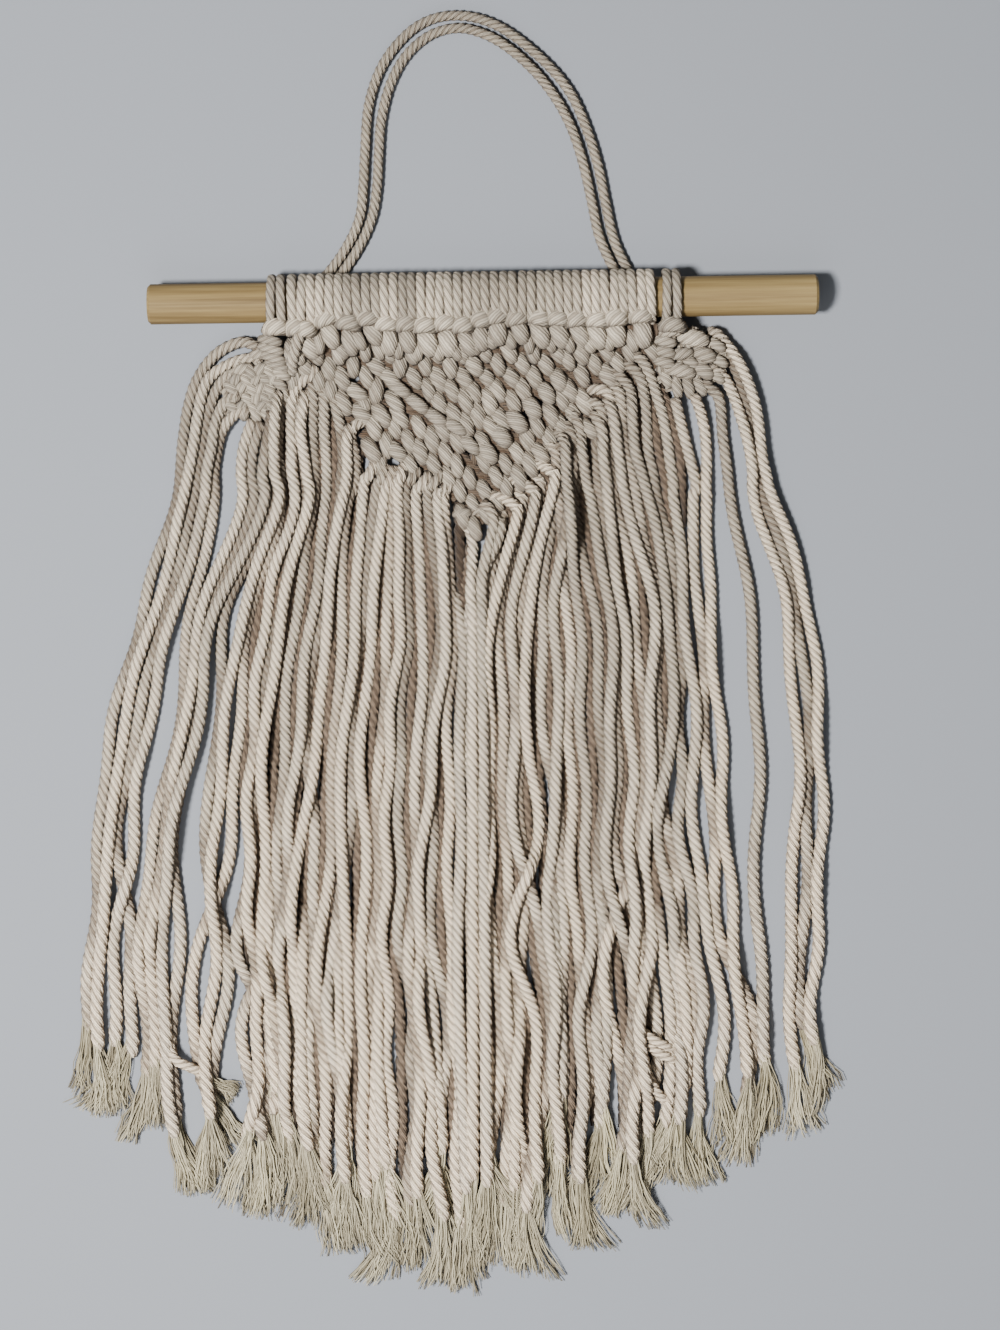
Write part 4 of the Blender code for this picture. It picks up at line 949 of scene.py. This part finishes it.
# left of the tip is a deep slit, with one strand far down in it
SLIT = ((-12.4, -90.0), (-12.0, -116.0), (-11.4, -143.0), (-11.4, -175.0))
# painted shade: the slit's strand is painted darker still, by this share
SLIT_SHADE = 0.3


def course_between(beside, every, cut):
    """The mean of a strand's course and its right neighbour's, less some steps at the end."""
    one, other = (course_of(index, between)[::every] for index in (beside, beside + 1))
    count = min(len(one), len(other)) - cut
    return (one[:count] + other[:count]) / 2


rising = []
for beside, higher_end in RISING.items():
    middle = course_between(beside, 1, int(higher_end / STEP))[-int(RISING_LENGTH / STEP):]
    along = np.linspace(0.0, 1.0, len(middle))
    middle[:, 0] += 2.0 * np.sin(along * 5.0 + any_phase()) * along
    rising.append(np.column_stack([middle, LOWER_HEIGHT + RISE * np.clip(along * 3, 0, 1)]))
lower_courses = [(course_between(beside, 2, OUTER_CUT.get(beside, LOWER_CUT)), 1.0)
                 for beside in range(10, 50)]
lower = []
for middle, shade in lower_courses + [(smooth_path(SLIT, LOWER_STEP), SLIT_SHADE)]:
    path = np.column_stack([middle, np.full(len(middle), LOWER_HEIGHT)])
    # painted shade: each lower strand is painted darker over its last eight rings, where it ends under the
    # others
    left_over = np.clip(np.arange(len(middle))[::-1] / 8.0, 0.0, 1.0)
    lower.append(rope(path, level_side(path), 2.5, lay=19.0, per_lobe=2, phase=any_phase(),
                      wide=1.2, high=0.7, groove=0.24, tone=0.6, swell=0.3 + 0.7 * left_over,
                      painted_ring_light=left_over * shade))
add_piece("lower_strands", lower, painted_shade_cotton)

# %% [markdown]
# ## The strands and their brushes
# Each strand is a twisted cord down to the place where it was combed out. From there its yarns fan
# into a brush: they start together inside the cord and end spread over the floor, some shorter. Hair
# curves could make them too, but thin tubes have a real surface, and keep it in any other program.

# %% Brush of one strand
BRUSH = 29.0                           # how much of a strand is combed out
YARNS_PER_BRUSH, YARN_RINGS = 63, 10
YARN_RADIUS = 0.27                     # coarser than real yarn, so that it shows
CLUMPS = 7                             # yarns of one strand of the cord stay together for a while
INSIDE = 9.5                           # how much of a yarn is still inside the cord's end
DEEPEST_SHADE = 0.15                   # how bright the yarns at the floor are


def brush(path, tone, tilt, half_width, length=BRUSH):
    """Yarns that leave the cord's end. Each goes from a place in the cord's round section to a place
    on the brush's wide flat one, by a share that grows evenly after the first tenth, and sways by a
    slow wave and a quick one. Yarns of one clump share most of their goal and their slow wave, so
    the brush falls into tufts. tilt turns it as it goes out: the reach times t squared is added."""
    start = path[-int(length / STEP) - 7]
    heading = unit((path[-4] - start) * (1.0, 1.0, 0.0))
    side = np.array([-heading[1], heading[0], 0.0])
    count = YARNS_PER_BRUSH
    clump = np.arange(count) % CLUMPS
    t = np.linspace(0.0, 1.0, YARN_RINGS)[None, :]
    about = 2 * math.pi * (clump / CLUMPS + rng.normal(0, 0.06, count))
    out = rng.uniform(0.9, 2.45, count)
    lateral_start, height_start = (out * np.cos(about))[:, None], (out * np.sin(about))[:, None]
    goal = np.linspace(-0.85, 0.85, CLUMPS)[rng.permutation(CLUMPS)] + rng.normal(0, 0.1, CLUMPS)
    lateral_end = (goal[clump] + rng.normal(0, 0.22, count)) * half_width
    flatter = (1 - 0.5 * np.abs(lateral_end) / half_width).clip(0.3, 1.0)
    height_end = rng.uniform(0.3, 6.5, count) * flatter
    shorter = rng.uniform(0.9, 1.02, CLUMPS)[clump] * rng.uniform(0.92, 1.03, count)
    reach = (length + INSIDE) * shorter[:, None]
    share = np.clip((t - 0.1) / 0.9, 0.0, 1.0) ** 0.95
    wave_rate = rng.uniform(4, 9, CLUMPS)[clump, None]
    wave_start = any_phase(CLUMPS)[clump, None]
    wave = np.sin(t * wave_rate + wave_start) * 1.5 * t
    own_rate, own_start = rng.uniform(14, 26, count)[:, None], any_phase(count)[:, None]
    wave += np.sin(t * own_rate + own_start) * 0.45 * t
    lateral = lateral_start * (1 - share) + lateral_end[:, None] * share + wave + tilt * reach * t ** 2
    level = start[2] + height_start * (1 - share) + (height_end - start[2])[:, None] * share
    level = np.maximum(level, YARN_RADIUS + 0.05)
    places = start[:2] + heading[:2] * (reach * t)[:, :, None] + side[:2] * lateral[:, :, None]
    # painted shade: yarns low near the floor are painted darker, down to DEEPEST_SHADE, and each yarn and
    # each brush by a random share more, as if they lay deeper
    shade = np.clip(DEEPEST_SHADE + (1 - DEEPEST_SHADE) * (level - 0.3) / 4.0, DEEPEST_SHADE, 1.0)
    shade = shade * rng.uniform(0.3, 1.0, count)[:, None] * rng.uniform(0.6, 1.0)
    return yarns(np.concatenate([places, level[:, :, None]], axis=2), YARN_RADIUS, tone, shade)


print("yarns in a brush:", YARNS_PER_BRUSH)

# %% Strands and frayed ends
END_TAPER = (1.03, 1.05, 1.05, 1.0, 0.9, 0.75, 0.55)     # a cord's size in the rings before its brush
LEFT_WING, RIGHT_WING = 8, 48          # strands up to the one, and from the other on, are the wings
STEEPEST_TILT = 0.28
layers = list(zip(strand_paths, strand_shade))
# painted shade: a rising strand is painted dark where it comes out, and brightens over 30 mm
rising_layers = [(path, np.clip(0.25 + np.arange(len(path)) * STEP / 30.0, 0.0, 1.0)) for path in rising]
tip_layers = [(path, np.ones(len(path))) for path in tip_paths]
groups = {"fringe_left": layers[LEFT_WING:FIRST_RIGHT],
          "fringe_right": layers[FIRST_RIGHT:RIGHT_WING] + tip_layers, "rising": rising_layers,
          "wing_left": layers[:LEFT_WING], "wing_right": layers[RIGHT_WING:]}
for label, members in groups.items():
    strands, brushes = [], []
    for path, shade in members:
        tone = rng.uniform(0.05, 0.8)
        cut = len(path) - int(BRUSH / STEP)
        shown = path[:cut]
        # a cord slackens to its end: it grows thicker and its twist longer
        along = np.linspace(0.6 if label == "rising" else 0.0, 1.0, cut)
        swell = 0.98 + 0.14 * along ** 1.5
        swell[-len(END_TAPER):] *= END_TAPER
        # painted shade: each strand is painted darker for its first few millimetres, where it comes out from
        # under others
        shade = shade * (1 - 0.5 * np.exp(-np.arange(len(path)) * STEP / 5.0))
        phase = any_phase()
        lay = LAY_LENGTH * rng.uniform(0.93, 1.08) * (1 + 0.45 * along ** 3)
        strands.append(rope(shown, level_side(shown), STRAND_RADIUS, lay, phase=phase, swell=swell,
                            tone=tone, painted_ring_light=shade[:cut]))
        tilt = float(np.clip(rng.normal(0, 0.2), -STEEPEST_TILT, STEEPEST_TILT))
        brushes.append(brush(path, tone, tilt, rng.uniform(5.5, 10.0)))
    shown_piece = add_piece(label + "_strands", strands, cord_cotton)
    if label != "rising":
        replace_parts(shown_piece, label)
    add_piece(label + "_brushes", brushes, frayed_cotton)

# %% [markdown]
# ## Two strands that were tied
# Near the lower end a strand is knotted round its neighbours at the left, and one is looped at the
# right. Both go over and under others, so their points have a height too, and are given one by one.

# %% Tied strands
TIED_BRUSH = 8.0
tie_left = smooth_path(((-146.0, -328.0, 3.0), (-145.6, -335.0, 6.5), (-142.5, -339.6, 8.6),
                        (-137.0, -342.4, 8.6), (-131.6, -345.4, 6.4), (-121.0, -353.0, 4.0),
                        (-117.5, -355.5, 4.0)), STEP)
tie_right = smooth_path(((64.6, -328.6, 2.0), (68.0, -330.8, 7.4), (73.0, -334.0, 9.0),
                         (78.0, -336.8, 7.0), (81.4, -339.0, 2.0)), STEP)
second_tie = tie_right + (1.4, -5.4, -0.8)
loop_right = smooth_path(((66.0, -333.0, 2.6), (67.4, -342.0, 6.0), (69.6, -351.0, 7.4),
                          (74.4, -359.0, 6.4), (80.6, -363.4, 2.6)), STEP)
cut = int(TIED_BRUSH / STEP) + 6
tied = [rope(path, level_side(path), 2.5, phase=any_phase(), tone=0.6)
        for path in (tie_left[:-cut], tie_right, second_tie, loop_right)]
add_piece("tied_strands", tied, cord_cotton)
add_piece("tied_brush", [brush(tie_left, 0.5, 0.0, 4.5, length=TIED_BRUSH)], frayed_cotton)

# %% [markdown]
# ## The side wings
# Each wing hangs on one loop of its own. Its cords are wound round each other into a short neck and a
# patch of knots, and leave it sideways. The left patch is a small loose grid of bights, each across its
# neighbours, with random numbers of its own, so that no other piece moves when it is changed. The neck
# above it, its lower edge and the right wing have too few and too unlike knots for a grid, so they are
# placed one by one. All are the same bights as in the V.

# %% Knots of the wings
# each bight: x, y, height of its crown, direction, length and width
LEFT_NECK = (
    (-94.2, -13.0, 18.0, -4, 9.4, 4.6), (-95.6, -17.0, 16.4, -12, 10.6, 4.8),
    (-95.4, -20.6, 14.8, -15, 11.8, 4.9), (-94.8, -24.3, 13.4, -18, 12.2, 5.0),
    (-92.8, -27.9, 12.4, -22, 11.4, 5.0), (-91.9, -31.3, 11.6, -28, 10.4, 5.0),
    (-93.0, -35.2, 10.8, -40, 9.6, 5.2), (-100.8, -22.6, 10.6, 8, 9.0, 5.0),
)
LEFT_LOWER_EDGE = (
    (-107.8, -47.6, 8.0, -100, 8.4, 5.0), (-103.0, -49.0, 8.2, -74, 8.6, 5.2),
    (-98.6, -48.6, 8.4, -62, 8.8, 5.2), (-94.2, -43.6, 9.0, -72, 9.4, 5.2),
    (-90.6, -39.8, 9.2, -70, 9.0, 5.0),
)
RIGHT_WING_BIGHTS = (
    (84.2, -15.6, 16.4, 8, 10.4, 5.6), (81.4, -19.8, 14.4, -14, 9.4, 5.6),
    (81.2, -24.4, 13.0, -16, 9.4, 5.6), (81.0, -29.0, 11.8, -20, 9.6, 5.6),
    (93.4, -18.2, 13.8, -14, 15.0, 8.8), (88.6, -25.4, 12.0, 6, 11.0, 6.0),
    (98.8, -25.6, 11.8, -22, 10.4, 7.4), (87.8, -32.6, 11.2, -14, 14.4, 7.4),
    (98.6, -32.6, 10.4, -38, 9.8, 7.2), (86.6, -39.8, 8.8, -80, 10.4, 5.2),
    (91.9, -40.0, 9.0, -76, 10.2, 5.4), (97.0, -39.6, 8.8, -62, 9.0, 5.4),
    (104.4, -21.4, 10.4, -30, 9.0, 5.2), (105.6, -28.4, 9.6, -34, 8.6, 5.0),
    (104.6, -35.2, 8.8, -44, 8.4, 5.0), (81.6, -35.6, 8.6, -66, 9.4, 5.2),
    (92.6, -28.8, 10.2, -30, 8.6, 5.2),
)
# the cord that runs from the left wing's mount down beside the V
LEFT_DROP = ((-81.2, -11.0, 17.0), (-82.2, -15.0, 18.0), (-83.9, -20.5, 16.2), (-85.7, -26.4, 12.4),
             (-86.2, -31.0, 7.0))
GRID_SIDE = 5           # rows, and bights in each
GRID_START = (-112.797, 31.336)     # how far right and down the first bight lies
GRID_PITCH = (4.292, 4.032)
GRID_OFFSET = 1.691     # every other row is moved to the right by this
GRID_SCATTER = 0.585
GRID_TURN = 0.015       # the grid is turned clockwise by this, in radians
GRID_LEFT, GRID_RIGHT = -114.5, -93.2
GRID_HEIGHT = 11.2      # at the upper right: it falls by the next two for each row and column
ROW_FALL, COLUMN_FALL = 0.5, 0.35
CROSSING = (-52, 38)    # the two directions, in degrees, that neighbours take by turns
HALF_CORE = 5.0         # half the length of the cord under each bight
LOWEST_CORE = 2.7


def grid_bights():
    """The bights of the left wing's patch, to a tenth of a millimetre, less those outside its sides."""
    draw = random.Random(4)
    places = []
    for row in range(GRID_SIDE):
        left_side = GRID_LEFT + 1.2 * max(0, 2 - row)       # the patch is narrower at its top
        for column in range(GRID_SIDE):
            right = (GRID_START[0] + column * GRID_PITCH[0] + row % 2 * GRID_OFFSET
                     + draw.uniform(-GRID_SCATTER, GRID_SCATTER))
            down = GRID_START[1] + row * GRID_PITCH[1] + draw.uniform(-GRID_SCATTER, GRID_SCATTER)
            x, y = round(right - GRID_TURN * down, 1), round(-down - GRID_TURN * right, 1)
            if left_side < x < GRID_RIGHT:
                height = GRID_HEIGHT - ROW_FALL * row - COLUMN_FALL * (GRID_SIDE - 1 - column)
                direction = CROSSING[(row + column) % 2] + draw.randint(-16, 16)
                length, width = round(draw.uniform(7.0, 8.4), 1), round(draw.uniform(4.6, 5.5), 1)
                places.append((x, y, round(height, 1), direction, length, width))
    return tuple(places)


def wing_knots(places):
    """Bights, and under each a straight length of cord at 80 degrees to it, which closes the back."""
    parts = [bight(*place, arch=3.4, tone=rng.uniform(-0.1, 0.4), fibre=17.0, dark=0.55, groove=0.12,
                   edge=0.75) for place in places]
    for x, y, z, direction, _, _ in places:
        heading = math.radians(direction + 80)
        run = np.array([math.cos(heading), math.sin(heading), 0.0]) * HALF_CORE
        middle = np.array([x, y, max(LOWEST_CORE, z - 5.2)])
        path = np.linspace(middle - run, middle + run, 7)
        parts.append(rope(path, level_side(path), radius=2.2, lay=20.0, tone=0.2))
    return parts


drop = smooth_path(LEFT_DROP, STEP)
left_places = LEFT_NECK + grid_bights() + LEFT_LOWER_EDGE
left_knots = wing_knots(left_places) + [rope(drop, level_side(drop), radius=3.0, tone=0.3)]
add_piece("left_wing_knots", left_knots, cord_cotton)
add_piece("right_wing_knots", wing_knots(RIGHT_WING_BIGHTS), cord_cotton)

# %% [markdown]
# ## Floor and light
# A plain pale floor, a soft light high up at the lower left like a roof window, and even light all
# round. The shadows fall short, to the right. A broad dim light beyond the lower edge brightens that
# end of the floor.

# %% Floor
FLOOR_REACH = 3.0              # in metres
FLOOR_HEIGHT = -0.0002
corners = [(x * FLOOR_REACH, y * FLOOR_REACH, FLOOR_HEIGHT) for x, y in ((-1, -1), (1, -1), (1, 1), (-1, 1))]
floor_mesh = bpy.data.meshes.new("floor")
floor_mesh.from_pydata(corners, [], [(0, 1, 2, 3)])
floor = bpy.data.objects.new("floor", floor_mesh)
bpy.context.collection.objects.link(floor)
matt_paint, _, floor_shader = new_material("matt_painted_floor", roughness=0.8, specular=0.2)
floor_shader.inputs["Base Color"].default_value = colour("#8a8e95")
floor_mesh.materials.append(matt_paint)
floor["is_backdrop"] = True
print("floor, m across:", 2 * FLOOR_REACH)


# %% Lights
def area_light(name, at, towards, size, energy):
    """A square light of this size in metres and energy in watts, turned to face a place."""
    data = bpy.data.lights.new(name, "AREA")
    data.size, data.energy = size, energy
    light = bpy.data.objects.new(name, data)
    bpy.context.collection.objects.link(light)
    light.location = at
    light.rotation_euler = (Vector(towards) - Vector(at)).to_track_quat("-Z", "Y").to_euler()
    return data


roof_light = area_light("roof_light", (-0.64, -0.30, 1.55), (0.0, -0.16, 0.0), 0.26, 66.0)
roof_light.color = (1.0, 0.985, 0.96)
area_light("fill_light", (-0.15, -1.0, 0.9), (0.0, -0.3, 0.0), 0.9, 5.0)
world = bpy.data.worlds.new("studio")
world.use_nodes = True
background = world.node_tree.nodes["Background"].inputs
background["Color"].default_value = (0.93, 0.96, 1.0, 1.0)
background["Strength"].default_value = 0.15
bpy.context.scene.world = world
print("lights:", len(bpy.data.lights))

# %% [markdown]
# ## Sizes
# The size of the box of everything that is seen, less the hidden solids and the floor, is printed,
# in millimetres.

# %% Sizes
low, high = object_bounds()
print("visual model, mm:", [round((b - a) / MM, 1) for a, b in zip(low, high)])
